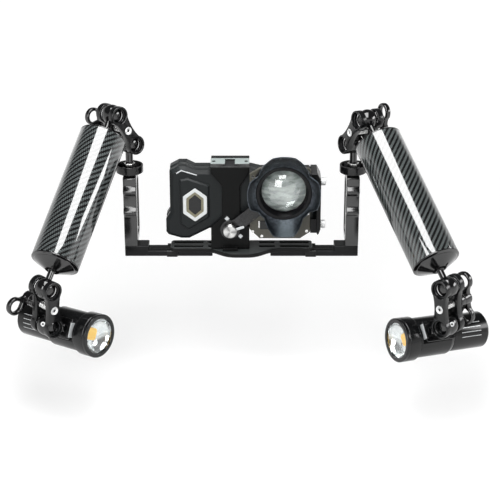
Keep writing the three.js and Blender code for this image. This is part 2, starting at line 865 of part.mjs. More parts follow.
function shellOutline(inset = 0) {
  const grow = ([x, z]) => {
    const middle = (shellBottomZ + shellTopZ) / 2;
    const scaleX = 1 - (2 * inset) / (shellRightX - shellLeftX);
    const scaleZ = 1 - (2 * inset) / (shellTopZ - shellBottomZ);
    const centreX = (shellLeftX + shellRightX) / 2;
    return [centreX + (x - centreX) * scaleX, middle + (z - middle) * scaleZ];
  };
  const foot = shellFront;
  const inner = shellLeftX + shellStep.inset;
  const right = shellRight;
  const shoulderZ = shellTopZ - shellShoulder.drop;
  const neckLeft = bracketLeftX - neckGap;
  const neckRight = bracketRightX + neckGap;
  const points = [
    [shellLeftX, shellBottomZ + foot.footRise],
    [shellLeftX + foot.cornerIn, shellBottomZ + foot.cornerUp],
    [shellLeftX + foot.footRun, shellBottomZ],
    [shellLeftX + foot.footRun + foot.footLength, shellBottomZ],
    [neckLeft, waistBottomZ],
    [neckRight, waistBottomZ],
    [neckRight + waistBottomZ - shellBottomZ, shellBottomZ + right.lift],
    [shellRightX - right.run, shellBottomZ + right.lift],
    [shellRightX - right.shoulder, shellBottomZ + right.low],
    [shellRightX, shellBottomZ + right.high],
    [shellRightX, shellLensTopZ - right.topDrop],
    [shellRightX - right.topIn, shellLensTopZ],
    [neckRight + neckTopRun, shellLensTopZ],
    [neckRight, waistTopZ],
    [shellLeftX + shellShoulder.neck, waistTopZ],
    [shellLeftX + shellShoulder.end, shoulderZ],
    [shellLeftX + shellShoulder.start, shoulderZ],
    [inner, shellTopZ - shellShoulder.cut],
    [inner, shellBottomZ + shellStep.high],
    [shellLeftX, shellBottomZ + shellStep.low],
  ];
  return outline(points.map(grow));
}

// The room for the phone, from one Y to another
function phoneSpace(yFront, yBack) {
  const shape = roundedRectangle(
    -phoneSpaceHalf, phoneSpaceHalf,
    waistBottomZ + phoneSpaceEdge, waistTopZ - phoneSpaceEdge, phoneSpaceRadius,
  );
  return upright(shape, yFront, yBack, 0, 2);
}

function rearShell() {
  const outside = upright(shellOutline(), partingY + sealThickness, shellBackY, backBevel);
  return cut(outside, phoneSpace(partingY - 1, shellBackY + 1));
}

function mainSeal() {
  const ring = shellOutline(sealInset);
  ring.holes.push(new THREE.Path(shellOutline(sealInset + sealWidth).getPoints().reverse()));
  return upright(ring, partingY, partingY + sealThickness);
}

function raisedPanel() {
  const left = panelCentreX - panelLeftReach;
  const peak = panelCentreX - panelPeakShift;
  const right = panelCentreX + panelRightReach;
  return outline([
    [left, panelCentreZ - panelLow.outer],
    [peak, panelCentreZ - panelLow.peak],
    [right, panelCentreZ - panelLow.inner],
    [right, panelCentreZ + panelHigh.inner],
    [peak, panelCentreZ + panelHigh.peak],
    [left, panelCentreZ + panelHigh.outer],
  ]);
}

function frontShell() {
  const body = upright(shellOutline(), shellFrontY, partingY, frontBevel);
  const panel = upright(raisedPanel(), shellFrontY - panelRise, shellFrontY + 2 * panelEdge, panelEdge);
  const inside = shellFrontY + shellWall;
  const window = rodAlongY(shellWindowRadius, shellFrontY - 1, inside, lensX, lensZ, smooth);
  return cut(join(body, panel), phoneSpace(inside, partingY + 1), window);
}

function touchSheet() {
  const middle = (waistBottomZ + waistTopZ) / 2;
  const shape = roundedRectangle(
    -touchSheetHalfWidth, touchSheetHalfWidth,
    middle - touchSheetHalfHeight, middle + touchSheetHalfHeight, touchSheetRadius,
  );
  return upright(shape, shellBackY, shellBackY + touchSheetRise, 0.4, 3);
}

function portPlate() {
  const c = portPlateCorner;
  const shape = outline([
    [portPlateLeftX + c, portPlateBottomZ],
    [portPlateRightX - c, portPlateBottomZ],
    [portPlateRightX, portPlateBottomZ + portPlateRightCut],
    [portPlateRightX, portPlateTopZ - portPlateTipCut],
    [portPlateRightX - portPlateTipCut, portPlateTopZ],
    [portPlateLeftX + c, portPlateTopZ],
    [portPlateLeftX, portPlateTopZ - portPlateTopCut],
    [portPlateLeftX, portPlateBottomZ + c],
  ]);
  const window = new THREE.Path().absarc(lensX, lensZ, portWindowRadius, 0, Math.PI * 2, true);
  shape.holes.push(window);
  return upright(shape, shellFrontY - portPlateThickness, shellFrontY, 0.6, 6);
}

function closingBar() {
  const lipInner = portPlateRightX + runGap;
  const cornerZ = shellLensTopZ - shellRight.topDrop;
  const capX = shellRightX - shellRight.topIn + barCapReach;
  const capZ = shellLensTopZ - barCapReach * shellRight.topDrop / shellRight.topIn;
  const spine = upright(
    outline([
      [shellRightX, barBottomZ + barCut.footUp],
      [shellRightX + barCut.footIn, barBottomZ],
      [barOuterX - barCut.toe, barBottomZ + barCut.toe],
      [barOuterX, barBottomZ + barCut.heel],
      [barOuterX, barTopZ - barCut.topDrop],
      [barOuterX - barCut.topIn, barTopZ],
      [capX, barTopZ],
      [capX, capZ],
      [shellRightX, cornerZ],
    ]),
    barFrontY, barBackY, 1,
  );
  const lips = [
    [barBottomZ, barBottomZ + barLipHeight],
    [barTopZ - barLipHeight, barTopZ - 1],
  ].map(([low, high]) =>
    block(lipInner, shellRightX + barCut.footIn, barFrontY + 1, shellFrontY, low + barLipStep, high),
  );
  const tools = thumbScrewZ.map((z) =>
    rodAlongX(
      thumbScrewShank + runGap,
      barOuterX - thumbScrewShankLength - runGap, barOuterX + 1,
      thumbScrewY, z, 12,
    ),
  );
  return cut(join(spine, ...lips), ...tools);
}

function thumbScrew(z) {
  return join(
    rodAlongX(thumbScrewRadius, barOuterX + runGap, barOuterX + runGap + thumbScrewHead, thumbScrewY, z, smooth),
    rodAlongX(thumbScrewShank, barOuterX - thumbScrewShankLength, barOuterX + runGap + 1, thumbScrewY, z, 12),
  );
}

// Bracket: a C round the housing's waist, with a shaped front plate and the pin that the lens swings on

function bracketBody() {
  const back = shellBackY + touchSheetRise + runGap;
  const rearY = back + bracketLip;
  const frontPlate = upright(
    outline([
      [bracketLeftX, trayTopZ],
      [bracketRightX, trayTopZ],
      [bracketRightX, bracketFlareLowZ],
      [bracketWaistRightX, bracketWaistLowZ],
      [bracketWaistRightX, bracketWaistHighZ],
      [bracketRightX, bracketFlareHighZ],
      [bracketRightX, bracketTopZ],
      [bracketLeftX, bracketTopZ],
      [bracketLeftX, bracketFlareHighZ],
      [bracketWaistLeftX, bracketWaistHighZ],
      [bracketWaistLeftX, bracketWaistLowZ],
      [bracketLeftX, bracketFlareLowZ],
    ]),
    bracketFrontY, shellFrontY, 0.8,
  );
  const middle = (bracketLeftX + bracketRightX) / 2;
  return join(
    frontPlate,
    block(bracketLeftX, bracketRightX, shellFrontY - 1, rearY, waistTopZ + runGap, bracketTopZ),
    block(bracketLeftX, bracketRightX, back, rearY, waistTopZ - bracketLipGrip, bracketTopZ - 1),
    block(bracketLeftX, bracketRightX, shellFrontY - 1, rearY, trayTopZ, waistBottomZ - runGap),
    block(bracketLeftX, bracketRightX, back, rearY, trayTopZ + 1, waistBottomZ + bracketLipGrip),
    block(
      middle - bracketTongueHalf, middle + bracketTongueHalf,
      bracketFrontY - bracketTongueReach, bracketFrontY + 1,
      trayTopZ, trayTopZ + bracketTongueHeight,
    ),
    rodAlongY(pivotPinRadius, lockKnobBack() - pivotPinReach, bracketFrontY + 1, pivotX, pivotZ, 12),
  );
}

function shoePlate() {
  const middle = (bracketLeftX + bracketRightX) / 2;
  const top = bracketTopZ + shoeThickness;
  const backY = bracketFrontY + shoeDepth;
  const stopY = bracketFrontY + shoeSlotDepth;
  return cut(
    block(bracketLeftX, bracketRightX, bracketFrontY, backY, bracketTopZ, top),
    block(
      middle - shoeSlotWidth / 2, middle + shoeSlotWidth / 2, bracketFrontY - 1, stopY,
      top - shoeLip - shoeSlotHeight, top - shoeLip,
    ),
    block(middle - shoeMouthWidth / 2, middle + shoeMouthWidth / 2, bracketFrontY - 1, stopY, top - shoeLip - 1, top + 1),
  );
}

// Lens

function turnedLens(profile, sides = smooth) {
  return turned(profile, sides).translate(lensX, 0, lensZ);
}

function swingPlateBack() {
  return bracketFrontY - runGap;
}

function lockKnobBack() {
  return swingPlateBack() - swingPlateThickness - runGap;
}

function lensBarrel() {
  const rear = swingPlateBack();
  return turnedLens([
    [barrelBoreRadius, rear],
    [barrelBoreRadius, lensRingY + glassSeat],
    [glassRadius + runGap, lensRingY + glassSeat],
    [glassRadius + runGap, lensRingY],
    [barrelFrontRadius - ringEdge, lensRingY],
    [barrelFrontRadius, lensRingY + ringEdge],
    [barrelFrontRadius, rear],
    [barrelBoreRadius, rear],
  ], lensSides);
}

function frontGlass() {
  const seat = lensRingY + glassSeat - runGap;
  const edge = lensRingY + glassEdgeDrop;
  const steps = 5;
  const dome = Array.from({ length: steps + 1 }, (_, i) => {
    const angle = (Math.PI / 2) * (i / steps);
    return [glassRadius * Math.sin(angle), edge - glassRise * Math.cos(angle)];
  });
  return turnedLens([...dome, [glassRadius, seat], [0, seat], [0, edge - glassRise]], lensSides);
}

// Reach of the hood past the front ring, by angle from straight up
function petalReach(angle) {
  const fromPole = Math.min(angle, Math.abs(Math.PI - angle), Math.abs(2 * Math.PI - angle));
  const degrees = THREE.MathUtils.radToDeg(fromPole);
  if (degrees <= 15) return petalLong;
  if (degrees <= 52.5) return petalLong + ((petalNotch - petalLong) * (degrees - 15)) / 37.5;
  if (degrees <= 67.5) return petalNotch + ((petalShort - petalNotch) * (degrees - 52.5)) / 15;
  return petalShort;
}

function lensHood() {
  const inner = barrelFrontRadius + runGap;
  const steps = 40;
  const corners = [];
  for (let i = 0; i < steps; i += 1) {
    const angle = (2 * Math.PI * i) / steps;
    const reach = petalReach(angle);
    const ring = [
      [inner, lensRingY + hoodSleeve],
      [inner + hoodWall, lensRingY + hoodSleeve],
      [inner + hoodWall, lensRingY + 1],
      [inner + hoodWall + hoodFlare * reach, lensRingY - reach],
      [inner + hoodFlare * reach, lensRingY - reach],
      [inner, lensRingY],
    ];
    for (const [radius, y] of ring) {
      corners.push(lensX + radius * Math.sin(angle), y, lensZ + radius * Math.cos(angle));
    }
  }
  const perRing = 6;
  const faces = [];
  for (let i = 0; i < steps; i += 1) {
    for (let k = 0; k < perRing; k += 1) {
      const a = i * perRing + k;
      const b = i * perRing + ((k + 1) % perRing);
      const c = ((i + 1) % steps) * perRing + ((k + 1) % perRing);
      const d = ((i + 1) % steps) * perRing + k;
      faces.push(a, b, c, a, c, d);
    }
  }
  const geometry = new THREE.BufferGeometry();
  geometry.setAttribute("position", new THREE.Float32BufferAttribute(corners, 3));
  geometry.setIndex(faces);
  geometry.computeVertexNormals();
  return geometry;
}

// The swing arm: an eye round the pivot, a raised bar, and a ring that holds the barrel
function lensSwingArm() {
  const back = swingPlateBack();
  const front = back - swingPlateThickness;
  const bore = barrelFrontRadius + runGap;
  const dx = lensX - pivotX;
  const dz = lensZ - pivotZ;
  const reach = Math.hypot(dx, dz);
  const tilt = Math.atan2(dz, dx);
  const bar = (start, end, yFront, yBack) =>
    block(start, end, yFront, yBack, -swingPlateWidth / 2, swingPlateWidth / 2)
      .rotateY(-tilt)
      .translate(pivotX, 0, pivotZ);
  const ringReach = reach - bore - swingRingWall / 2;
  return cut(
    join(
      rodAlongY(swingEyeRadius, front, back, pivotX, pivotZ, smooth),
      bar(0, ringReach, front, back),
      bar(swingPlateStart, ringReach, front - swingPlateRise, back),
      rodAlongY(bore + swingRingWall, front - swingPlateRise, back, lensX, lensZ, lensSides),
    ),
    rodAlongY(bore, front - swingPlateRise - 1, back + 1, lensX, lensZ, lensSides),
    rodAlongY(pivotPinRadius + runGap, front - swingPlateRise - 1, back + 1, pivotX, pivotZ, 12),
  );
}

// Lock knob: it turns on the end of the bracket's pin, and its pointer sweeps over the eye
function lockKnob() {
  const face = lockKnobBack();
  const angle = THREE.MathUtils.degToRad(pointerAngle);
  const bar = new THREE.BoxGeometry(pointerLength, 1.6, pointerWidth)
    .translate(lockKnobRadius - 2 + pointerLength / 2, 0, 0)
    .rotateY(-angle)
    .translate(pivotX, face - swingPlateRise - 0.8 - runGap, pivotZ);
  return cut(
    join(rodAlongY(lockKnobRadius, face - lockKnobHeight, face, pivotX, pivotZ, smooth), bar),
    rodAlongY(pivotPinRadius + runGap, face - pivotPinReach - runGap, face + 1, pivotX, pivotZ, 12),
  );
}

export const object = new THREE.Group();

addPiece(object, "tray_plate", trayPlate(), "greyAluminium");
addPiece(object, "bracket_body", bracketBody(), "blackAluminium");
addPiece(object, "shoe_plate", shoePlate(), "greyAluminium");
addPiece(object, "rear_shell", rearShell(), "blackPlastic");
addPiece(object, "main_seal", mainSeal(), "rubber");
addPiece(object, "front_shell", frontShell(), "blackPlastic");
addPiece(object, "touch_sheet", touchSheet(), "rubber");
addPiece(object, "port_plate", portPlate(), "oliveMetal");
addPiece(object, "closing_bar", closingBar(), "blackPlastic");
addPiece(object, "lower_thumb_screw", thumbScrew(thumbScrewZ[0]), "steel");
addPiece(object, "upper_thumb_screw", thumbScrew(thumbScrewZ[1]), "steel");
addPiece(object, "lens_barrel", lensBarrel(), "blackAluminium");
addPiece(object, "lens_front_glass", frontGlass(), "glass");
addPiece(object, "lens_hood", lensHood(), "blackPlastic");
addPiece(object, "lens_swing_arm", lensSwingArm(), "blackAluminium");
addPiece(object, "lens_lock_knob", lockKnob(), "steel");
addSide(object, "left");
addSide(object, "right");

export default object;
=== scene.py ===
import json
import math
import bmesh
import bpy
from mathutils import Euler, Matrix, Vector


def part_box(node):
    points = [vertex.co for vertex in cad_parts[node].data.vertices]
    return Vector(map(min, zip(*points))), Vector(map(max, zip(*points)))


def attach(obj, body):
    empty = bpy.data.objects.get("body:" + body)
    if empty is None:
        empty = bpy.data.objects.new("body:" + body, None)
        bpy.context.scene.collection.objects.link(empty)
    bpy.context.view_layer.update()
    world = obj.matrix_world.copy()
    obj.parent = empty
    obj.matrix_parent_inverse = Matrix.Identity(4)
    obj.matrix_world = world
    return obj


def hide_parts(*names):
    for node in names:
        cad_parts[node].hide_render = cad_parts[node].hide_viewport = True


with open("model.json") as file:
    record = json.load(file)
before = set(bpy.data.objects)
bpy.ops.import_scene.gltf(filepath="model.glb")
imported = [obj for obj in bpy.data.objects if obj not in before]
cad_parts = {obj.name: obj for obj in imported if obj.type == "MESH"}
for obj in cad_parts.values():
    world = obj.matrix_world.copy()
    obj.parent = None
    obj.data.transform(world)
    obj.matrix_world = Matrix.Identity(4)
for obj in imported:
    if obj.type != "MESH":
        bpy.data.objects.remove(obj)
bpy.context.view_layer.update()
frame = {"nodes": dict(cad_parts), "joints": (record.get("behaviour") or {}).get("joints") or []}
joints = {joint["name"]: joint for joint in frame["joints"]}
scene = bpy.context.scene
mm = 0.001


# Settings dictionary whose entries are also read as attributes
class Look(dict):
    __getattr__ = dict.__getitem__


sides = (("left", -1), ("right", 1))
print("frame loaded:", len(frame["nodes"]), "nodes")


# Node helpers; a node handed in as an input stands for its first output

def fill(tree, node, values):
    for key, value in values.items():
        socket = node.inputs[key]
        if isinstance(value, bpy.types.Node):
            value = value.outputs[0]
        if isinstance(value, bpy.types.NodeSocket):
            tree.links.new(value, socket)
        else:
            socket.default_value = value


def addNode(tree, kind, inputs=None, **settings):
    node = tree.nodes.new(kind)
    for key, value in settings.items():
        setattr(node, key, value)
    fill(tree, node, inputs or {})
    return node


# The tree of the first socket or node among the values
def treeOf(*values):
    return next(value.id_data for value in values
                if isinstance(value, (bpy.types.Node, bpy.types.NodeSocket)))


def calc(operation, first, second=0.0, clamp=False):
    settings = {"operation": operation, "use_clamp": clamp}
    return addNode(treeOf(first, second), "ShaderNodeMath", {0: first, 1: second}, **settings).outputs[0]


def times(first, second, clamp=False):
    return calc("MULTIPLY", first, second, clamp)


def plus(first, second, clamp=False):
    return calc("ADD", first, second, clamp)


def blendColors(factor, first, second, mode="MIX"):
    tree = treeOf(factor, first, second)
    inputs = {0: factor, 6: first, 7: second}
    return addNode(tree, "ShaderNodeMix", inputs, data_type="RGBA", blend_type=mode).outputs[2]


def blendValues(factor, first, second):
    return addNode(treeOf(factor), "ShaderNodeMix", {0: factor, 2: first, 3: second},
                   data_type="FLOAT").outputs[0]


def spread(value, low, high, toLow=0.0, toHigh=1.0):
    inputs = {0: value, 1: low, 2: high, 3: toLow, 4: toHigh}
    return addNode(treeOf(value), "ShaderNodeMapRange", inputs).outputs[0]


def noise(place, scale, detail, roughness=0.5):
    inputs = {"Vector": place, "Scale": scale, "Detail": detail, "Roughness": roughness}
    return addNode(treeOf(place), "ShaderNodeTexNoise", inputs).outputs[0]


def split(value):
    return addNode(treeOf(value), "ShaderNodeSeparateXYZ", {0: value}).outputs


def bump(height, distance):
    return addNode(treeOf(height), "ShaderNodeBump", {"Height": height, "Distance": distance})


def rgba(color):
    return (*color, 1) if isinstance(color, tuple) else (color, color, color, 1)


# A new node group whose sockets are listed by kind
def newGroup(name, treeKind, inputs, outputs):
    group = bpy.data.node_groups.new(name, treeKind)
    for direction, sockets in (("INPUT", inputs), ("OUTPUT", outputs)):
        for kind, labels in sockets.items():
            for label in labels:
                group.interface.new_socket(label, in_out=direction, socket_type="NodeSocket" + kind)
    return group, group.nodes.new("NodeGroupInput").outputs, group.nodes.new("NodeGroupOutput")


def useGroup(tree, group, inputs):
    return addNode(tree, "ShaderNodeGroup", inputs, node_tree=group).outputs


# Fine mottling and grit of blasted, anodised and moulded surfaces
grainMix = Look(fineShare=0.45, cloudShare=0.55, cloudScale=0.035, middle=0.5)


def makeGrainGroup():
    group, given, leave = newGroup(
        "surfaceGrain", "ShaderNodeTree",
        {"Vector": ["Place"], "Color": ["Base"],
         "Float": ["Scale", "Contrast", "Roughness", "Roughness Swing"]},
        {"Color": ["Color"], "Float": ["Roughness", "Height"]})
    fine = noise(given["Place"], given["Scale"], 3, 0.6)
    cloud = noise(given["Place"], times(given["Scale"], grainMix.cloudScale), 4, 0.55)
    both = plus(times(fine, grainMix.fineShare), times(cloud, grainMix.cloudShare))
    swing = times(calc("SUBTRACT", both, grainMix.middle), 2)
    value = plus(times(swing, given["Contrast"]), 1)
    fill(group, leave, {
        "Color": addNode(group, "ShaderNodeHueSaturation", {"Color": given["Base"], "Value": value}),
        "Roughness": plus(given["Roughness"], times(swing, given["Roughness Swing"]), clamp=True),
        "Height": fine,
    })
    return group


# Painted highlight: edges brightened where the surface is pointed and broken up in patches, standing in for
# the light that corners catch
edgeGlintMix = Look(ridge=(0.53, 0.61), patchScale=260, patch=(0.38, 0.62, 0.35, 1))


def makeEdgeGlintGroup():
    group, given, leave = newGroup(
        "paintedEdgeGlint", "ShaderNodeTree", {"Vector": ["Place"], "Color": ["Base", "Glint"], "Float": ["Amount"]},
        {"Color": ["Color"]})
    form = group.nodes.new("ShaderNodeNewGeometry").outputs
    ridge = spread(form["Pointiness"], *edgeGlintMix.ridge)
    patchy = spread(noise(given["Place"], edgeGlintMix.patchScale, 3), *edgeGlintMix.patch)
    mask = times(times(ridge, patchy), given["Amount"], clamp=True)
    fill(group, leave, {"Color": blendColors(mask, given["Base"], given["Glint"])})
    return group


# Fine turning lines round lathed parts, from the turned map's distance along the profile
def makeTurningGroup():
    group, given, leave = newGroup(
        "turningLines", "ShaderNodeTree", {"Vector": ["Map"], "Float": ["Pitch"]}, {"Float": ["Height"]})
    turns = calc("DIVIDE", split(given["Map"])[1], given["Pitch"])
    wave = calc("SINE", times(turns, math.tau))
    fill(group, leave, {"Height": plus(times(wave, 0.5), 0.5)})
    return group


grainGroup = makeGrainGroup()
edgeGlintGroup = makeEdgeGlintGroup()
turningGroup = makeTurningGroup()


def emptyMaterial(name):
    material = bpy.data.materials.new(name)
    material.use_nodes = True
    tree = material.node_tree
    tree.nodes.clear()
    shader = tree.nodes.new("ShaderNodeBsdfPrincipled")
    addNode(tree, "ShaderNodeOutputMaterial", {0: shader})
    place = tree.nodes.new("ShaderNodeTexCoord").outputs["Object"]
    return material, tree, shader, place


# Anodised, blasted, moulded, plated and lathed finishes: colour, painted edge highlight colour and amount,
# roughness, its swing, scale and contrast of the grain, depth of the relief in metres, metallic and specular
# level
finishLooks = {
    "satinBlack": ((0.0035, 0.0037, 0.004), (0.14, 0.14, 0.15), 0.25, 0.19, 0.04, 1500, 0.25, 1e-5, 0, 0.38),
    "glossBlack": ((0.003, 0.003, 0.0033), 0.1, 0.12, 0.11, 0.03, 500, 0.2, 5e-6, 0, 0.75),
    "gripBlack": ((0.003, 0.003, 0.0033), 0.12, 0.2, 0.17, 0.04, 1500, 0.2, 1e-5, 0, 0.8),
    "blastedBlack": ((0.0045, 0.0047, 0.005), 0.24, 0.08, 0.26, 0.05, 1700, 0.25, 3e-5, 0, 0.15),
    "shellPlastic": ((0.0078, 0.0095, 0.01), (0.1, 0.115, 0.12), 0.35, 0.38, 0.05, 1900, 0.2, 6e-5, 0, 0.17),
    "bracketBlack": ((0.0045, 0.0047, 0.0047), 0.2, 0, 0.3, 0.05, 1500, 0.18, 3e-5, 0, 0.08),
    "portOlive": ((0.058, 0.055, 0.043), (0.2, 0.19, 0.16), 0.3, 0.42, 0.07, 1200, 0.25, 5e-5, 0.2, 0.5),
    "shoeGrey": ((0.3, 0.35, 0.34), (0.5, 0.52, 0.52), 0.3, 0.42, 0.08, 1200, 0.12, 4e-5, 0.1, 0.5),
    # Tray: its top colour is a painted sheen, its sides a darker painted shade
    "trayTopSheen": ((0.032, 0.036, 0.036), 0.5, 0.15, 0.3, 0.06, 1300, 0.12, 3e-5, 0, 0.15),
    "brightSteel": ((0.62, 0.62, 0.61), 0.85, 0.4, 0.22, 0.07, 900, 0.1, 1e-5, 1, 0.5),
    "boltSilver": ((0.74, 0.75, 0.75), 0.9, 0.3, 0.3, 0.05, 900, 0.08, 1e-5, 0.25, 0.5),
    "silverMark": ((0.56, 0.58, 0.59), 0.8, 0.2, 0.34, 0.05, 900, 0.08, 1e-5, 0.3, 0.5),
    "badgeSilver": ((0.56, 0.58, 0.58), 0.9, 0.3, 0.3, 0.05, 900, 0.08, 1e-5, 0.1, 0.5),
    "badgeKhaki": ((0.16, 0.15, 0.1), (0.3, 0.28, 0.2), 0.2, 0.5, 0.05, 900, 0.15, 2e-5, 0.1, 0.5),
    "softRubber": ((0.01, 0.01, 0.011), 0.05, 0.1, 0.72, 0.06, 1400, 0.25, 5e-5, 0, 0.5),
    "lensBlack": ((0.003, 0.003, 0.0036), (0.16, 0.16, 0.17), 0.5, 0.2, 0.04, 1700, 0.2, 1e-5, 0, 0.16),
    "hoodSatin": ((0.003, 0.0038, 0.005), (0.4, 0.45, 0.52), 0.3, 0.24, 0.03, 1500, 0.12, 1e-5, 0, 0.24),
    "touchFilm": ((0.045, 0.047, 0.05), 0.1, 0.1, 0.28, 0.05, 800, 0.12, 1e-5, 0, 0.5),
    "turnedSteel": ((0.6, 0.6, 0.59), 0.5, 0.3, 0.24, 0.05, 1200, 0.12, 3e-5, 1, 0.5),
    "turnedBlack": ((0.0085, 0.0088, 0.0095), 0.5, 0.3, 0.3, 0.05, 1200, 0.12, 2e-5, 0.25, 0.5),
}
# side is the colour of faces that don't look up: on the tray a painted shade under a top coloured as a
# painted sheen, on the shoe a dark front and sides; pitch is the spacing of turning lines in metres
finishExtras = {
    "shoeGrey": Look(side=0.008),
    "trayTopSheen": Look(side=0.004),
    "hoodSatin": Look(tint=(0.75, 0.9, 1)),
    "touchFilm": Look(coat=0.4),
    "turnedSteel": Look(pitch=0.0005),
    "turnedBlack": Look(pitch=0.0006),
}


def makeFinish(name, color, glintColor, glintAmount, roughness, swing, grain, contrast, depth, metallic, specular,
               tint=1, coat=0, side=None, pitch=None):
    material, tree, shader, place = emptyMaterial(name)
    base = rgba(color)
    # Faces that don't look up take the side colour: on the tray this is painted shade
    if side is not None:
        facing = split(tree.nodes.new("ShaderNodeTexCoord").outputs["Normal"])[2]
        base = blendColors(spread(facing, 0.75, 0.95), rgba(side), base)
    grained = useGroup(tree, grainGroup, {
        "Place": place, "Base": base, "Scale": grain, "Contrast": contrast, "Roughness": roughness,
        "Roughness Swing": swing,
    })
    # Edges take the painted highlight colour
    glinted = useGroup(tree, edgeGlintGroup, {
        "Place": place, "Base": grained["Color"], "Glint": rgba(glintColor), "Amount": glintAmount,
    })
    height = grained["Height"]
    if pitch is not None:
        turnedMap = addNode(tree, "ShaderNodeUVMap", uv_map="turnedMap")
        height = useGroup(tree, turningGroup, {"Map": turnedMap, "Pitch": pitch})["Height"]
    fill(tree, shader, {
        "Base Color": glinted["Color"], "Roughness": grained["Roughness"], "Metallic": metallic,
        "Specular IOR Level": specular, "Specular Tint": rgba(tint), "Coat Weight": coat,
        "Coat Roughness": 0.12, "Normal": bump(height, depth),
    })
    return material


finishes = {name: makeFinish(name, *look, **finishExtras.get(name, {})) for name, look in finishLooks.items()}

# Two-over-two twill: tows cross in steps of four, so light and dark run in diagonal stairs; the lighter tows
# are a painted sheen for how the weave catches light
carbonLook = Look(
    tow=math.tau * 0.030 / 96, lightTow=(0.095, 0.108, 0.108), darkTow=(0.002, 0.0023, 0.0023), repeat=4,
    overHalf=0.49, fibreScale=5200, roughness=(0.28, 0.40), resin=0.00004,
)


def makeCarbon():
    look = carbonLook
    material, tree, shader, place = emptyMaterial("carbonTwill")
    turnedMap = addNode(tree, "ShaderNodeUVMap", uv_map="turnedMap")
    across, along = [calc("DIVIDE", value, look.tow) for value in list(split(turnedMap))[:2]]
    step = calc("SUBTRACT", calc("FLOOR", across), calc("FLOOR", along))
    quarter = calc("DIVIDE", calc("FLOORED_MODULO", step, look.repeat), look.repeat)
    warpOnTop = calc("LESS_THAN", quarter, look.overHalf)
    crownAcross, crownAlong = [calc("SINE", times(calc("FRACT", value), math.pi))
                               for value in (across, along)]
    crown = blendValues(warpOnTop, crownAlong, crownAcross)
    fibres = noise(turnedMap, look.fibreScale, 2.0)
    # Painted shade: each tow darker towards its edges, mixed with the fibres' own mottling
    shade = times(spread(crown, 0.0, 1.0, 0.1, 1.0), spread(fibres, 0.3, 0.7, 0.7, 1.15))
    darkTow, lightTow = [blendColors(1.0, rgba(look[key]), shade, "MULTIPLY")
                         for key in ("darkTow", "lightTow")]
    fill(tree, shader, {
        "Base Color": blendColors(warpOnTop, darkTow, lightTow),
        "Roughness": spread(fibres, 0.2, 0.8, *look.roughness), "Metallic": 0.0, "Specular IOR Level": 0.1,
        "Coat Weight": 1.0, "Coat Roughness": 0.03, "Coat IOR": 1.9, "Normal": bump(crown, look.resin),
    })
    return material


def makeMirror():
    material, tree, shader, place = emptyMaterial("mirrorChrome")
    haze = noise(place, 90.0, 3.0)
    fill(tree, shader, {
        "Roughness": spread(haze, 0.3, 0.7, 0.10, 0.16), "Metallic": 1.0,
        "Base Color": blendColors(spread(haze, 0.3, 0.7), (0.60, 0.62, 0.63, 1), (0.76, 0.77, 0.77, 1)),
    })
    return material


# Amber phosphor; its faint emission is a painted glow
def makeAmber():
    material, tree, shader, place = emptyMaterial("amberPhosphor")
    cells = addNode(tree, "ShaderNodeTexVoronoi", {"Vector": place, "Scale": 900.0})
    tone = blendColors(spread(cells, 0.0, 0.6), (1.0, 0.66, 0.12, 1), (0.95, 0.55, 0.07, 1))
    fill(tree, shader, {"Base Color": tone, "Emission Color": tone, "Emission Strength": 0.35,
                        "Roughness": 0.5})
    return material


# Clear windows and lens glass keep a plain transmission; smears live in the roughness
def makeGlass(name, color, ior):
    material, tree, shader, place = emptyMaterial(name)
    fill(tree, shader, {
        "Roughness": spread(noise(place, 60.0, 4.0), 0.45, 0.75, 0.0, 0.02), "Base Color": rgba(color),
        "Transmission Weight": 1.0, "Metallic": 0.0, "IOR": ior,
    })
    return material


# Deep lens element: its clouded grey colour is a painted reflection of the brightness seen deep in the lens,
# under a hard coat that mirrors the lights
def makeElement():
    material, tree, shader, place = emptyMaterial("elementPaintedReflection")
    level = addNode(tree, "ShaderNodeMapping", {"Vector": place, "Scale": (1.0, 1.0, 2.6)})
    cloud = noise(level, 75.0, 5.0)
    fill(tree, shader, {
        "Base Color": blendColors(spread(cloud, 0.38, 0.64), (0.12, 0.145, 0.14, 1), (0.46, 0.50, 0.48, 1)),
        "Roughness": spread(cloud, 0.3, 0.7, 0.10, 0.2), "Metallic": 0.0, "Specular IOR Level": 1.0,
        "Coat Weight": 1.0, "Coat Roughness": 0.03, "Coat IOR": 1.8,
    })
    return material


# Lock knob face: turned in rings; the spokes of light round the pivot are a painted highlight in its colour
def makeSpunFace(centre):
    material, tree, shader, place = emptyMaterial("spunSteelPaintedSpokes")
    centred = addNode(tree, "ShaderNodeMapping", {"Vector": place, "Location": [-value for value in centre]})
    x, y, z = split(centred)
    angle = calc("ARCTAN2", z, x)
    spokes = calc("ABSOLUTE", calc("SINE", times(angle, 1.5)))
    radius = calc("SQRT", plus(times(x, x), times(z, z)))
    rings = calc("SINE", times(radius, 9000.0))
    fill(tree, shader, {
        "Base Color": blendColors(spokes, rgba(0.20), (0.55, 0.55, 0.54, 1)), "Metallic": 1.0,
        "Roughness": spread(rings, -1.0, 1.0, 0.24, 0.34), "Normal": bump(rings, 0.00001),
    })
    return material


finishes["carbonTwill"] = makeCarbon()
finishes["mirrorChrome"] = makeMirror()
finishes["amberPhosphor"] = makeAmber()
finishes["clearGlass"] = makeGlass("clearGlass", (0.97, 0.985, 0.98), 1.45)
finishes["lensGlass"] = makeGlass("lensGlass", (0.93, 0.96, 0.95), 1.75)
finishes["elementPaintedReflection"] = makeElement()
print("finishes made:", len(finishes))


# Outlines in millimetres, as lists of points

def arc(cx, cy, radius, start, end, steps=12):
    turn = [math.radians(start + (end - start) * i / steps) for i in range(steps + 1)]
    return [(cx + radius * math.cos(a), cy + radius * math.sin(a)) for a in turn]


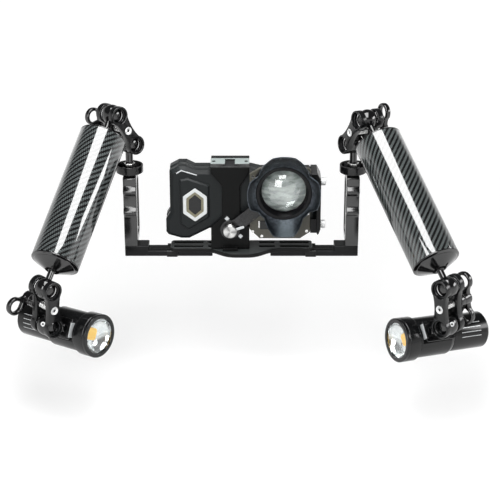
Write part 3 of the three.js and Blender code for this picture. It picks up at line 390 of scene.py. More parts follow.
def circle(cx, cy, radius, steps):
    return arc(cx, cy, radius, 0, 360, steps)[:-1]


def roundedRect(x0, x1, y0, y1, radius, steps=6):
    corners = ((x1 - radius, y0 + radius, -90), (x1 - radius, y1 - radius, 0), (x0 + radius, y1 - radius, 90),
               (x0 + radius, y0 + radius, 180))
    return [point for cx, cy, start in corners for point in arc(cx, cy, radius, start, start + 90, steps)]


# The same rectangle on the left or the right of the middle
def sideRect(sign, near, far, y0, y1, radius, steps=6):
    return roundedRect(*sorted((sign * near, sign * far)), y0, y1, radius, steps)


def bend(start, pull, end, steps=10):
    shares = [i / steps for i in range(1, steps + 1)]
    return [tuple((1 - t) ** 2 * a + 2 * t * (1 - t) * b + t * t * c for a, b, c in zip(start, pull, end))
            for t in shares]


def doubleBend(start, pullA, pullB, end, steps):
    shares = [(i / steps, 1 - i / steps) for i in range(1, steps + 1)]
    return [tuple(u ** 3 * a + 3 * u * u * t * b + 3 * u * t * t * c + t ** 3 * d
                  for a, b, c, d in zip(start, pullA, pullB, end)) for t, u in shares]


def turnedArea(loop):
    return sum(a[0] * b[1] - b[0] * a[1] for a, b in zip(loop, loop[1:] + loop[:1])) / 2


def flipped(points):
    return [(-x, y) for x, y in points]


# Corners of an open or closed profile become small arcs, which catch the light as a real edge does
def softened(profile, radius, closed=False, steps=3):
    out = []
    count = len(profile)
    for i, point in enumerate(profile):
        here = Vector(point)
        toBefore = Vector(profile[i - 1]) - here
        toAfter = Vector(profile[(i + 1) % count]) - here
        isEnd = not closed and i in (0, count - 1)
        isTiny = min(toBefore.length, toAfter.length) < 1e-6
        if isEnd or isTiny or toBefore.angle(toAfter) > math.radians(160):
            out.append(point)
            continue
        reach = min(radius, toBefore.length * 0.45, toAfter.length * 0.45)
        a = here + toBefore.normalized() * reach
        b = here + toAfter.normalized() * reach
        for t in [k / steps for k in range(steps + 1)]:
            out.append(tuple((1 - t) ** 2 * a + 2 * t * (1 - t) * here + t * t * b))
    return out


# Places

def frameFrom(origin, xAxis, yAxis, zAxis):
    place = Matrix((xAxis, yAxis, zAxis)).transposed().to_4x4()
    place.translation = origin
    return place


def shifted(x, y, z):
    return Matrix.Translation(Vector((x, y, z)) * mm)


still = Matrix.Identity(4)
# Outlines drawn in X and Z stand upright: the slab's own z runs against Y
upright = Matrix(((1, 0, 0, 0), (0, 0, -1, 0), (0, 1, 0, 0), (0, 0, 0, 1)))
# A turned profile's axis along Y, along X and back along X
alongY = Matrix(((1, 0, 0, 0), (0, 0, 1, 0), (0, -1, 0, 0), (0, 0, 0, 1)))
alongX = Matrix(((0, 0, 1, 0), (0, 1, 0, 0), (-1, 0, 0, 0), (0, 0, 0, 1)))
backAlongX = Matrix(((0, 0, -1, 0), (0, 1, 0, 0), (1, 0, 0, 0), (0, 0, 0, 1)))
# Outlines drawn in Y and Z, for a slab that lies across X
acrossX = Matrix(((0, 0, 1, 0), (1, 0, 0, 0), (0, 1, 0, 0), (0, 0, 0, 1)))


def jointPlace(name):
    return Vector(joints[name]["pos_m"])


def jointAxis(name):
    return Vector(joints[name]["axis"]).normalized()


def clampFrame(first, second, facing):
    along = (second - first).normalized()
    out = (facing - facing.dot(along) * along).normalized()
    return frameFrom(first, out.cross(along), out, along)


# Solids are added to one bmesh in millimetres and carried to their place

# A profile of radius and height, turned round; it closes on itself unless it ends on the axis
def addTurned(bm, profile, place, steps=64):
    uvs = bm.loops.layers.uv.get("turnedMap") or bm.loops.layers.uv.new("turnedMap")
    rings = []
    turns = [math.tau * i / steps for i in range(steps)]
    for radius, along in profile:
        spokes = [(0, 0)] if radius < 1e-4 else [(radius * math.cos(a), radius * math.sin(a)) for a in turns]
        rings.append([bm.verts.new(place @ (Vector((x, y, along)) * mm)) for x, y in spokes])
    travelled = [0.0]
    for a, b in zip(profile, profile[1:]):
        travelled.append(travelled[-1] + math.dist(a, b))
    around = math.tau * max(radius for radius, along in profile) * mm

    def corners(number, start, end):
        ring = rings[number]
        if len(ring) == 1:
            return [(ring[0], (start + end) / 2, number)]
        return [(ring[turn % steps], turn, number) for turn in (start, end)]

    pairs = [(k, k + 1) for k in range(len(profile) - 1)]
    if len(rings[0]) > 1 and len(rings[-1]) > 1:
        pairs.append((len(profile) - 1, 0))
    for first, second in pairs:
        if len(rings[first]) == 1 and len(rings[second]) == 1:
            continue
        for i in range(steps):
            spots = corners(first, i, i + 1) + corners(second, i + 1, i)
            face = bm.faces.new([vert for vert, turn, number in spots])
            face.smooth = True
            for loop, (vert, turn, number) in zip(face.loops, spots):
                loop[uvs].uv = (around * turn / steps, travelled[number] * mm)


# A plate from an outline and its holes, from z0 to z1, with rounded rims
def addSlab(bm, loops, z0, z1, edge, place=still, rounds=3):
    rims = [(0.0, z0), (0.0, z1)]
    if edge > 0:
        edge = min(edge, (z1 - z0) / 2 - 0.01)
        turns = [math.pi / 2 * k / rounds for k in range(rounds + 1)]
        rims = [(edge * (1 - math.sin(a)), z0 + edge * (1 - math.cos(a))) for a in turns]
        rims += [(edge * (1 - math.cos(a)), z1 - edge * (1 - math.sin(a))) for a in turns]
    caps = [[], []]
    for number, loop in enumerate(loops):
        loop = [point for i, point in enumerate(loop) if math.dist(point, loop[i - 1]) > 1e-4]
        if (turnedArea(loop) > 0) != (number == 0):
            loop = loop[::-1]
        count = len(loop)
        shift = []
        for i in range(count):
            here = Vector(loop[i])
            inward = (here - Vector(loop[i - 1])).normalized()
            outward = (Vector(loop[(i + 1) % count]) - here).normalized()
            na = Vector((-inward.y, inward.x))
            nb = Vector((-outward.y, outward.x))
            shift.append((na + nb) / max(1 + na.dot(nb), 0.35))
        rings = []
        for inset, z in rims:
            rings.append([bm.verts.new(place @ (Vector((p[0] + s.x * inset, p[1] + s.y * inset, z)) * mm))
                          for p, s in zip(loop, shift)])
        for ringA, ringB in zip(rings, rings[1:]):
            for i in range(count):
                j = (i + 1) % count
                bm.faces.new((ringA[i], ringA[j], ringB[j], ringB[i])).smooth = True
        for cap, ring in zip(caps, (rings[0], rings[-1])):
            cap += [bm.edges.get((ring[i], ring[(i + 1) % count])) for i in range(count)]
    for cap in caps:
        for item in bmesh.ops.triangle_fill(bm, use_beauty=True, use_dissolve=False, edges=cap)["geom"]:
            if isinstance(item, bmesh.types.BMFace):
                item.smooth = False


def markSharp(bm, angle):
    for edge in bm.edges:
        if len(edge.link_faces) == 2 and edge.calc_face_angle(0) > math.radians(angle):
            edge.smooth = False


def closeMesh(name, bm):
    mesh = bpy.data.meshes.new(name)
    bm.to_mesh(mesh)
    bm.free()
    return mesh


def makeMesh(name, bm, sharp=40):
    bmesh.ops.remove_doubles(bm, verts=bm.verts, dist=1e-7)
    bmesh.ops.recalc_face_normals(bm, faces=bm.faces)
    markSharp(bm, sharp)
    return closeMesh(name, bm)


def reopened(mesh):
    bm = bmesh.new()
    bm.from_mesh(mesh)
    return bm


# A piece without a finish keeps the materials of its mesh
def addPiece(name, mesh, finish, body="housing", nodes=(), sharp=40):
    if isinstance(mesh, bmesh.types.BMesh):
        mesh = makeMesh(name, mesh, sharp)
    if finish is not None:
        mesh.materials.clear()
        mesh.materials.append(finishes[finish])
    piece = bpy.data.objects.new(name, mesh)
    scene.collection.objects.link(piece)
    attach(piece, body)
    if nodes:
        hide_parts(*nodes)
    return piece


def addLathed(name, profile, place, steps, finish, body="housing", nodes=()):
    bm = bmesh.new()
    addTurned(bm, profile, place, steps)
    return addPiece(name, bm, finish, body, nodes)


def addPlate(name, loops, z0, z1, edge, place, finish, slot, body="housing", nodes=(), rounds=3):
    bm = bmesh.new()
    addSlab(bm, loops, z0, z1, edge, place, rounds)
    return addPiece(name, bm, finish, body, nodes)


def meshFrom(thing):
    bpy.context.view_layer.update()
    return bpy.data.meshes.new_from_object(thing.evaluated_get(bpy.context.evaluated_depsgraph_get()))


# Cuts tool out of blank and gives the result as a new mesh
def cutOut(blank, tool):
    things = []
    for name, bm in (("cutBlank", blank), ("cutTool", tool)):
        things.append(bpy.data.objects.new(name, makeMesh(name, bm)))
        scene.collection.objects.link(things[-1])
    cutter = things[0].modifiers.new("cut", "BOOLEAN")
    cutter.operation = "DIFFERENCE"
    cutter.solver = "EXACT"
    cutter.object = things[1]
    result = meshFrom(things[0])
    for thing in things:
        bpy.data.objects.remove(thing)
    return result


# A merged copy of a CAD solid with its flat faces joined and its corners rounded
def dressNode(node, name, finish, slot, body, edge, limit=24, rounds=2, flat=0.4):
    bm = reopened(frame["nodes"][node].data)
    bmesh.ops.remove_doubles(bm, verts=bm.verts, dist=2e-6)
    bmesh.ops.dissolve_limit(bm, angle_limit=math.radians(flat), verts=bm.verts, edges=bm.edges)
    for face in bm.faces:
        face.smooth = True
    markSharp(bm, limit)
    piece = addPiece(name, closeMesh(name, bm), finish, body, [node])
    soften = piece.modifiers.new("roundedCorners", "BEVEL")
    soften.width = edge * mm
    soften.segments = rounds
    soften.limit_method = "ANGLE"
    soften.angle_limit = math.radians(limit)
    soften.harden_normals = True


# Geometry trees

def geometryTree(name, inputs):
    sockets = {"Geometry": ["Geometry"], "Material": ["Finish"]}
    return newGroup(name, "GeometryNodeTree", {**sockets, **inputs}, {"Geometry": ["Geometry"]})


def closeTree(tree, given, leave, geometry):
    real = addNode(tree, "GeometryNodeRealizeInstances", {0: geometry})
    covered = addNode(tree, "GeometryNodeSetMaterial", {"Geometry": real, "Material": given["Finish"]})
    fill(tree, leave, {0: covered})
    return tree


def vector(tree, x=0.0, y=0.0, z=0.0):
    return addNode(tree, "ShaderNodeCombineXYZ", {0: x, 1: y, 2: z})


def spreadOut(tree, points, instance, rotation):
    return addNode(tree, "GeometryNodeInstanceOnPoints", {
        "Points": points, "Instance": instance, "Rotation": rotation,
    })


# Ridges, grooves or flutes set at equal steps round an axis
def makeRibTree():
    tree, given, leave = geometryTree("ribsRound", {
        "Int": ["Count"], "Float": ["Radius", "Start", "Sweep", "Height", "Width", "Length", "Middle"],
    })
    line = addNode(tree, "GeometryNodeMeshLine", {"Count": given["Count"]})
    share = calc("DIVIDE", tree.nodes.new("GeometryNodeInputIndex").outputs[0], given["Count"])
    angle = plus(given["Start"], times(share, given["Sweep"]))
    x, y = [times(calc(wave, angle), given["Radius"]) for wave in ("COSINE", "SINE")]
    spot = vector(tree, x, y, given["Middle"])
    ring = addNode(tree, "GeometryNodeSetPosition", {"Geometry": line, "Position": spot})
    size = vector(tree, given["Height"], given["Width"], given["Length"])
    rib = addNode(tree, "GeometryNodeMeshCube", {"Size": size})
    return closeTree(tree, given, leave, spreadOut(tree, ring, rib, vector(tree, z=angle)))


# Socket-head screws on points that know which way they face
def makeScrewTree():
    tree, given, leave = geometryTree("socketScrews", {
        "Float": ["Head Radius", "Head Height", "Socket Radius", "Socket Depth"],
    })

    def disc(vertices, radius, depth, rise):
        form = addNode(tree, "GeometryNodeMeshCylinder",
                       {"Vertices": vertices, "Radius": radius, "Depth": depth})
        return addNode(tree, "GeometryNodeTransform", {"Geometry": form, "Translation": vector(tree, z=rise)})

    height = given["Head Height"]
    head = disc(24, given["Head Radius"], height, times(height, 0.5))
    socket = disc(6, given["Socket Radius"], times(given["Socket Depth"], 2.0), height)
    screw = addNode(tree, "GeometryNodeMeshBoolean", {"Mesh 1": head, "Mesh 2": socket},
                    operation="DIFFERENCE")
    facing = addNode(tree, "GeometryNodeInputNamedAttribute", {"Name": "facing"}, data_type="FLOAT_VECTOR")
    turn = addNode(tree, "FunctionNodeAlignRotationToVector", {"Vector": facing}, axis="Z")
    return closeTree(tree, given, leave, spreadOut(tree, given["Geometry"], screw, turn))


# A thread: a four-sided ridge wound along the axis
def makeThreadTree():
    tree, given, leave = geometryTree("boltThread", {"Float": ["Radius", "Pitch", "Length", "Depth"]})
    wound = addNode(tree, "GeometryNodeCurveSpiral", {
        "Resolution": 24, "Rotations": calc("DIVIDE", given["Length"], given["Pitch"]),
        "Start Radius": given["Radius"], "End Radius": given["Radius"], "Height": given["Length"],
    })
    ridge = addNode(tree, "GeometryNodeCurvePrimitiveCircle", {"Resolution": 4, "Radius": given["Depth"]})
    swept = addNode(tree, "GeometryNodeCurveToMesh",
                    {"Curve": wound, "Profile Curve": ridge, "Fill Caps": True})
    return closeTree(tree, given, leave, swept)


ribTree = makeRibTree()
screwTree = makeScrewTree()
threadTree = makeThreadTree()


def runTree(tree, finish, values, place=still, points=()):
    seed = bpy.data.meshes.new("treeSeed")
    if points:
        seed.from_pydata([place @ (Vector(spot) * mm) for spot, facing in points], [], [])
        layer = seed.attributes.new("facing", "FLOAT_VECTOR", "POINT")
        for item, (spot, facing) in zip(layer.data, points):
            item.vector = (place.to_3x3() @ Vector(facing)).normalized()
    holder = bpy.data.objects.new("treeHolder", seed)
    scene.collection.objects.link(holder)
    modifier = holder.modifiers.new("tree", "NODES")
    modifier.node_group = tree
    values = {**values, "Finish": finishes[finish]}
    for socket in tree.interface.items_tree:
        if socket.in_out == "INPUT" and socket.name in values:
            modifier[socket.identifier] = values[socket.name]
    mesh = meshFrom(holder)
    bpy.data.objects.remove(holder)
    if not points:
        mesh.transform(place)
    return mesh


print("trees made: ribs, screws, threads")


# Float arms: a carbon tube between two black caps, each with its ball
armLook = Look(
    tube=[(27.5, 36), (30, 36), (30, 214), (27.5, 214)], tubeEdge=0.35, tubeSteps=144, reach=250, ball=12.7,
    neck=4, capEdge=0.35, capSteps=96,
    cap=[(4, 23.2), (4.8, 24), (9, 24), (9.6, 24.6), (25.6, 32.5), (26.1, 33.3), (28.9, 34.3), (30, 34.6),
         (30, 35.9), (27.2, 35.9), (27.2, 42), (0, 42)],
)


# Profile of a ball from its far pole to where its neck begins
def ballArc(radius, neck, steps=22):
    return [(0.0, -radius)] + arc(0, 0, radius, -90, math.degrees(math.acos(neck / radius)), steps)[1:]


def makeArm(side):
    look = armLook
    body = side + "_float_arm"
    place = clampFrame(jointPlace(side + "_arm_upper_ball"), jointPlace(side + "_arm_lower_ball"),
                       jointAxis(side + "_arm_upper_ball"))
    wall = softened(look.tube, look.tubeEdge, closed=True, steps=2)
    addLathed(side + "_carbon_tube", wall, place, look.tubeSteps, "carbonTwill", body,
              [side + "_arm_float_tube"])
    upper = ballArc(look.ball, look.neck) + softened(look.cap, look.capEdge)
    for end, profile in (("upper", upper), ("lower", [(r, look.reach - z) for r, z in upper])):
        addLathed(f"{side}_arm_{end}_end", profile, place, look.capSteps, "glossBlack",
                  body, [f"{side}_arm_{end}_cap"])


# Double ball clamps: two stepped plates, a socket-head bolt with its thread, and a wing knob
clampLook = Look(
    span=49, plate=(8.5, 17), plateEdge=1, plateEnd=12.5, plateSteps=36, plateSharp=32,
    waist=((9.576, 8.035), (5.624, 24.5), (9.576, 40.965), 12), socket=13.3, socketFrom=-88, ring=8.2,
    ringRim=[(8.2, 14), (8.7, 14.4), (10.1, 14.4), (10.1, 16.5), (10.7, 17.1), (10.7, 18), (0, 18)],
    frontHole=[(0, 6), (4.3, 6), (4.3, 11.7), (5.3, 11.7), (5.3, 16.5), (5.9, 17.1), (5.9, 18), (0, 18)],
    backHole=[(0, 6), (4.3, 6), (4.3, 18), (0, 18)],
    bolt=[(0, -16.9), (4.7, -16.9), (5.1, -16.5), (5.1, -11.8), (4.1, -11.8), (3.7, -11.2), (3.7, 34.2),
          (3, 35), (0, 35)],
    hexCut=(2.3, 14.5, 18), hexDark=(2.25, 14.3, 15.6), threadStart=-8.4,
    thread={"Radius": 0.0037, "Pitch": 0.00125, "Length": 0.0168, "Depth": 0.0005},
)
middle = clampLook.span / 2


def clampOutline():
    look = clampLook
    waist = bend(*look.waist)
    return (arc(0, look.span, look.plateEnd, -40, 220, look.plateSteps) + flipped(waist)[::-1][:-1]
            + arc(0, 0, look.plateEnd, 140, 400, look.plateSteps) + waist[:-1])


def makePlate(front):
    look = clampLook
    sign = -1 if front else 1
    rise = math.degrees(math.acos(look.ring / look.socket))
    bite = [(0, -look.socket)] + arc(0, 0, look.socket, look.socketFrom, rise, 26) + look.ringRim
    tool = bmesh.new()
    for z in (0.0, look.span):
        addTurned(tool, [(r, sign * y) for r, y in bite], shifted(0, 0, z) @ alongY, 56)
    hole = look["frontHole" if front else "backHole"]
    addTurned(tool, [(r, sign * y) for r, y in hole], shifted(0, 0, middle) @ alongY, 32)
    blank = bmesh.new()
    addSlab(blank, [clampOutline()], *sorted(-sign * z for z in look.plate), look.plateEdge, upright)
    return cutOut(blank, tool)


plateForms = {"front": makePlate(True), "back": makePlate(False)}


def clampPlate(face, place):
    bm = reopened(plateForms[face])
    bmesh.ops.transform(bm, matrix=place, verts=bm.verts)
    for item in bm.faces:
        item.smooth = True
    return bm


def makeBolt(place):
    radius, low, high = clampLook.hexCut
    blank, tool = bmesh.new(), bmesh.new()
    addTurned(blank, clampLook.bolt, shifted(0, 0, middle) @ alongY, 48)
    addSlab(tool, [circle(0, middle, radius, 6)], low, high, 0, upright)
    mesh = cutOut(blank, tool)
    mesh.transform(place)
    return mesh


# Wing knobs: turn of each at rest in degrees, the two finger loops and the turned hub
wingLook = Look(
    turns={"left_upper": 70, "left_lower": 170, "right_upper": 55, "right_lower": 85}, waist=(0, 8.5),
    pull=(10.2, 3.825), join=(16.25, 9.959), loopAt=22, loopRadius=11.5, holeRadius=7.3, holeFrom=(12.5, 0),
    holeTurn=140.2, thick=(-37, -30), edge=1.9,
    hub=[(4.3, 17.3), (7.6, 17.3), (8.5, 18.2), (8.5, 24), (7.9, 24.4), (7.9, 25), (8.5, 25.4), (8.5, 36.6),
         (7.6, 37.6), (5.4, 37.6), (4.3, 36.8)],
)


def wingOutline():
    look = wingLook
    waist, pull, join = look.waist, look.pull, look.join
    low = [(x, -z) for x, z in (waist, pull, join)]
    right = ([low[0]] + bend(*low, 8) + arc(look.loopAt, 0, look.loopRadius, -120, 120, 36)[1:]
             + bend(join, pull, waist, 8))
    return right[:-1] + flipped(right)[::-1][:-1]


def makeWing(name, place):
    look = wingLook
    seat = place @ shifted(0, 0, middle) @ Matrix.Rotation(math.radians(look.turns[name]), 4, "Y")
    hole = [look.holeFrom] + arc(look.loopAt, 0, look.holeRadius, -look.holeTurn, look.holeTurn, 30)
    bm = bmesh.new()
    addSlab(bm, [wingOutline(), hole, flipped(hole)], *look.thick, look.edge, seat @ upright, 4)
    addTurned(bm, softened(look.hub, 0.4, closed=True, steps=2), seat @ alongY, 48)
    return bm


def makeClamp(name, first, second, axisJoint):
    place = clampFrame(jointPlace(first), jointPlace(second), jointAxis(axisJoint))
    body = name + "_clamp"
    for face in plateForms:
        addPiece(f"{name}_clamp_{face}_jaw", clampPlate(face, place), "satinBlack", body,
                 [f"{name}_clamp_{face}_plate"], clampLook.plateSharp)
    addPiece(name + "_clamp_screw", makeBolt(place), "boltSilver", body, [name + "_clamp_bolt"])
    # Painted shade: a black hex disc at the bottom of the bolt's socket
    radius, low, high = clampLook.hexDark
    addPlate(name + "_clamp_socket_shade", [circle(0, middle, radius, 6)], low, high, 0, place @ upright,
             "softRubber", "black_rubber", body)
    thread = runTree(threadTree, "brightSteel", clampLook.thread,
                     place @ shifted(0, clampLook.threadStart, middle) @ alongY)
    addPiece(name + "_clamp_thread", thread, None, body)
    addPiece(name + "_clamp_wing", makeWing(name, place), "glossBlack", name + "_wing",
             [name + "_clamp_wing_knob"])


for side, sign in sides:
    makeArm(side)
    makeClamp(side + "_upper", side + "_handle_ball", side + "_arm_upper_ball", side + "_handle_ball")
    makeClamp(side + "_lower", side + "_arm_lower_ball", side + "_light_ball", side + "_light_ball")
print("arms and clamps made")


# Video lights: profiles run back from the front rim along the light's axis
lightLook = Look(
    front=51, axisDrop=-41, sharp=28,
    bezel=[(22, 0), (22, 2), (23.6, 2), (23.6, 21), (25, 21), (27, 19), (27, 5.4), (26.5, 4.9), (27, 4.4),
           (27, 0.8), (26.2, 0)],
    window=[(0, 2.3), (23, 2.3), (23.3, 2.6), (23.3, 5.3), (0, 5.3)], bowlFlat=[(0, 15.8), (9, 15.8)],
    bowl=((9, 15.8), (19, 13), (22.3, 5.6), 12),
    bowlBack=[(23.3, 5.6), (23.3, 8.6), (21.3, 13.6), (12.5, 20.7), (0, 20.7)],
    led=(-7.4, 7.4, -7.4, 7.4, 3.6), ledDepth=(13.6, 15.9),
    shell=[(0, 21.3), (24.5, 21.3), (24.5, 64.5), (22.3, 70), (0, 70)], flat=(20, 40, -40, 40, 1),
    flatDepth=(23.5, 80), tail=[(0, 70.3), (21.6, 70.3), (22.3, 71), (22.3, 119), (19.3, 122), (0, 122)],
    lineStarts=(-0.175, 1.919, 4.014), lineSweep=1.024,
    lines={"Count": 4, "Radius": 0.02222, "Height": 0.00035, "Width": 0.0008, "Length": 0.028,
           "Middle": 0.095},
    ball=12.7, neck=5, stem=[(5, -17), (6.2, -18.3), (6.2, -20.5), (0, -20.5)], foot=(-17, 23, -13, 13, 2.5),
    footDepth=(-20.7, -18.2), heel=(22, 25, -9.5, 9.5, 0.8), heelDepth=(-20.7, -13.7),
    boss=[(0, 5), (4.8, 5), (4.8, 18), (4.1, 18.6), (0, 18.6)], bossAt=(0, 0.8, -13.2),
    wall=(24.9, 25.5, -9.2, 9.2, 0.2), wallDepth=(-20.4, -14), screwFacing=(0, -0.9225, 0.386),
    screwSlant=0.3, screwAt=12.45,
    screw={"Head Radius": 0.0029, "Head Height": 0.0006, "Socket Radius": 0.0014, "Socket Depth": 0.0006},
)


def lightFrame(side):
    ball = jointPlace(side + "_light_ball")
    forward = jointAxis(side + "_light_tail_turn")
    up = ball - jointPlace(side + "_light_tail_turn")
    up = (up - up.dot(forward) * forward).normalized()
    return frameFrom(ball, forward, up.cross(forward), up)


def makeLamp(side, place):
    look = lightLook
    body = side + "_video_light"
    lathe = place @ shifted(look.front, 0, look.axisDrop) @ backAlongX
    addLathed(side + "_bezel_ring", softened(look.bezel, 0.3, closed=True, steps=2), lathe, 112, "satinBlack",
              body, [side + "_light_bezel"])
    addLathed(side + "_clear_window", look.window, lathe, 96, "clearGlass", body,
              [side + "_light_window"])
    addLathed(side + "_mirror_cup", look.bowlFlat + bend(*look.bowl) + look.bowlBack, lathe, 96,
              "mirrorChrome", body, [side + "_light_reflector"])
    addPlate(side + "_amber_led", [roundedRect(*look.led)], *look.ledDepth, 0.4, lathe, "amberPhosphor",
             "amber_led", body, [side + "_light_led"], 2)

    blank, mill = bmesh.new(), bmesh.new()
    addTurned(blank, softened(look.shell, 0.5), lathe, 128)
    addSlab(mill, [roundedRect(*look.flat)], *look.flatDepth, 0, lathe)
    shell = reopened(cutOut(blank, mill))
    for face in shell.faces:
        face.smooth = True
    addPiece(side + "_lamp_body", shell, "satinBlack", body, [side + "_light_body"],
             look.sharp)

    # Tail with four index lines along the axis on each of three sides
    tail = bmesh.new()
    addTurned(tail, softened(look.tail, 0.5), lathe, 128)
    addPiece(side + "_tail_cap", tail, "satinBlack", side + "_light_tail",
             [side + "_light_tail_cap"], look.sharp)
    sense = 1 if side == "right" else -1
    lines = bmesh.new()
    for start in look.lineStarts:
        spots = {"Start": sense * start, "Sweep": sense * look.lineSweep}
        lines.from_mesh(runTree(ribTree, "silverMark", {**look.lines, **spots}, lathe))
    addPiece(side + "_tail_lines", lines, "silverMark", side + "_light_tail")


# Ball on its neck, foot plate with a boss, the front wall in a bright finish as a painted highlight, and the
# screw in the ball
def makeLightMount(side, place):
    look = lightLook
    body = side + "_video_light"
    mount = bmesh.new()
    ball = [(r, -z) for r, z in ballArc(look.ball, look.neck)]
    addTurned(mount, ball + look.stem, place, 80)
    addSlab(mount, [roundedRect(*look.foot)], *look.footDepth, 0.6, place)
    addSlab(mount, [roundedRect(*look.heel)], *look.heelDepth, 0.6, place)
    addTurned(mount, softened(look.boss, 0.4), place @ shifted(*look.bossAt) @ alongX, 40)
    addPiece(side + "_light_ball_foot", mount, "glossBlack", body,
             [side + "_light_ball_mount"])
    # Painted highlight: the front wall is finished bright to stand for the highlight on its edge
    addPlate(side + "_light_front_glint", [roundedRect(*look.wall)], *look.wallDepth, 0.1, place, "silverMark",
             "black_aluminium", body)
    axis = jointAxis(side + "_light_ball")
    slant = look.screwSlant if axis.y > 0 else -look.screwSlant
    toward = (place.to_3x3().inverted() @ (Vector(look.screwFacing) + slant * axis)).normalized()
    head = runTree(screwTree, "boltSilver", look.screw, place, [(toward * look.screwAt, toward)])
    addPiece(side + "_light_ball_screw", head, None, body)


for side, sign in sides:
    makeLamp(side, lightFrame(side))
    makeLightMount(side, lightFrame(side))
print("lights made")


# Handles with a fingered grip, their discs and ball studs
handleLook = Look(
    near=135.9, far=153.1, edge=1.3, soft=1.2, opening=(-2.5, 27, 24, 101, 9, 10),
    foot=[(-11.3, 14), (-12.5, 26), (-12.5, 50)], crests=(63, 91), crestHalf=8, crestRise=2.25, gripX=-12.5,
    head=[(-12.5, 108), (-10.5, 110), (11.3, 110)],
    bends=(((11.3, 110), (31.5, 110), (31.5, 92), 16), ((31.5, 32), (31.5, 14), (11.3, 14), 16)), studX=144.5,
    cup=[(5.05, 110.3), (10, 110.3), (17.5, 114.5), (17.5, 124), (15.5, 124), (14.5, 117), (5.05, 117)],
    fins={"Count": 4, "Radius": 0.0112, "Start": 0.785, "Sweep": math.tau, "Height": 0.0072, "Width": 0.0022,
          "Length": 0.0052, "Middle": 0.1193},
    ball=12.7, ballZ=153, neck=4.75, stem=[(4.75, 127), (4.75, 110), (0, 110)], nut=(7.4, 4.8),
    nutDepth=(119, 126.6),
)


def handleOutline():
    look = handleLook
    loop = list(look.foot)
    for crest in look.crests:
        for k in range(-12, 13):
            rise = look.crestRise * (1 + math.cos(math.pi * k / 12))
            loop.append((look.gripX - rise, crest + k * look.crestHalf / 12))
    loop += look.head + [point for curve in look.bends for point in bend(*curve)]
    return softened(loop, look.soft, closed=True)


def makeHandle(side, sign):
    look = handleLook
    depth = sorted((sign * look.near, sign * look.far))
    addPlate(side + "_grip", [handleOutline(), roundedRect(*look.opening)], *depth, look.edge, acrossX,
             "gripBlack", "black_aluminium", "housing", [side + "_handle"], 4)
    seat = shifted(sign * look.studX, 0, 0)
    cup = bmesh.new()
    addTurned(cup, softened(look.cup, 0.5, closed=True), seat, 96)
    cup.from_mesh(runTree(ribTree, "satinBlack", look.fins, seat))
    addPiece(side + "_lock_cup", cup, "satinBlack", side + "_handle_lock_disc",
             [side + "_handle_disc"])
    ball = [(r, look.ballZ - z) for r, z in ballArc(look.ball, look.neck)]
    addLathed(side + "_ball_stud", ball + look.stem, seat, 80, "glossBlack", "housing",
              [side + "_handle_stud"])
    outer, inner = look.nut
    addPlate(side + "_stud_nut", [circle(0, 0, outer, 6), circle(0, 0, inner, 32)], *look.nutDepth, 0.6, seat,
             "brightSteel", "steel")


# Tray plate with its nose, slots, middle block and lugs
trayLook = Look(
    depth=(7, 12.5), edge=0.7, nose=((6, -34), (29.5, -34), (29.5, -14.25), (53, -14.25), 28),
    corners=((88, -9.25, 5, -90, 0, 8), (88, 9.25, 5, 0, 90, 8)), slots=((50, 89), (23, 44)),
    slotY=(-6.85, 6.85), slotHalf=2.75, slotRadius=2.5, block=(-22, 22, -11.3, 11.3, 2), lugX=(84, 98),
    lugY=(11.6, 14.2), blockDepth=(0, 8),
)


def makeTray():
    look = trayLook
    right = [look.nose[0]] + doubleBend(*look.nose) + [p for corner in look.corners for p in arc(*corner)]
    slots = [sideRect(sign, x0, x1, y - look.slotHalf, y + look.slotHalf, look.slotRadius, 8)
             for side, sign in sides for x0, x1 in look.slots for y in look.slotY]
    bm = bmesh.new()
    addSlab(bm, [right + flipped(right)[::-1]] + slots, *look.depth, look.edge)
    addSlab(bm, [roundedRect(*look.block)], *look.blockDepth, 0.6)
    for side, sign in sides:
        for back in (-1, 1):
            ys = sorted(back * y for y in look.lugY)
            addSlab(bm, [sideRect(sign, *look.lugX, *ys, 0.6)], *look.blockDepth, 0.4)
    addPiece("tray_deck", bm, "trayTopSheen", "housing", ["tray_plate"])


# Grooved rails under the tray, each with a foot that carries its handle
railLook = Look(
    rail=(38, 153.1, -11.3, 11.3, 1.5), railDepth=(0, 7), grooveX=(50, 119.9), grooveY=(-6.2, 0, 6.2),
    grooveHalf=1.2, grooveRadius=1.19, grooveDepth=(5.8, 9), sharp=32,
    foot=(121.9, 153.1, -11.32, 11.32, 1.5), footDepth=(0.02, 14),
)


def makeRail(side, sign):
    look = railLook
    blank, cutters = bmesh.new(), bmesh.new()
    addSlab(blank, [sideRect(sign, *look.rail)], *look.railDepth, 0.7)
    for y in look.grooveY:
        groove = sideRect(sign, *look.grooveX, y - look.grooveHalf, y + look.grooveHalf, look.grooveRadius)
        addSlab(cutters, [groove], *look.grooveDepth, 0.5)
    rail = reopened(cutOut(blank, cutters))
    addSlab(rail, [sideRect(sign, *look.foot)], *look.footDepth, 0.8)
    addPiece(side + "_tray_rail", rail, "blastedBlack", "housing", [side + "_rail"],
             look.sharp)


makeTray()
for side, sign in sides:
    makeHandle(side, sign)
    makeRail(side, sign)
print("tray, rails and handles made")

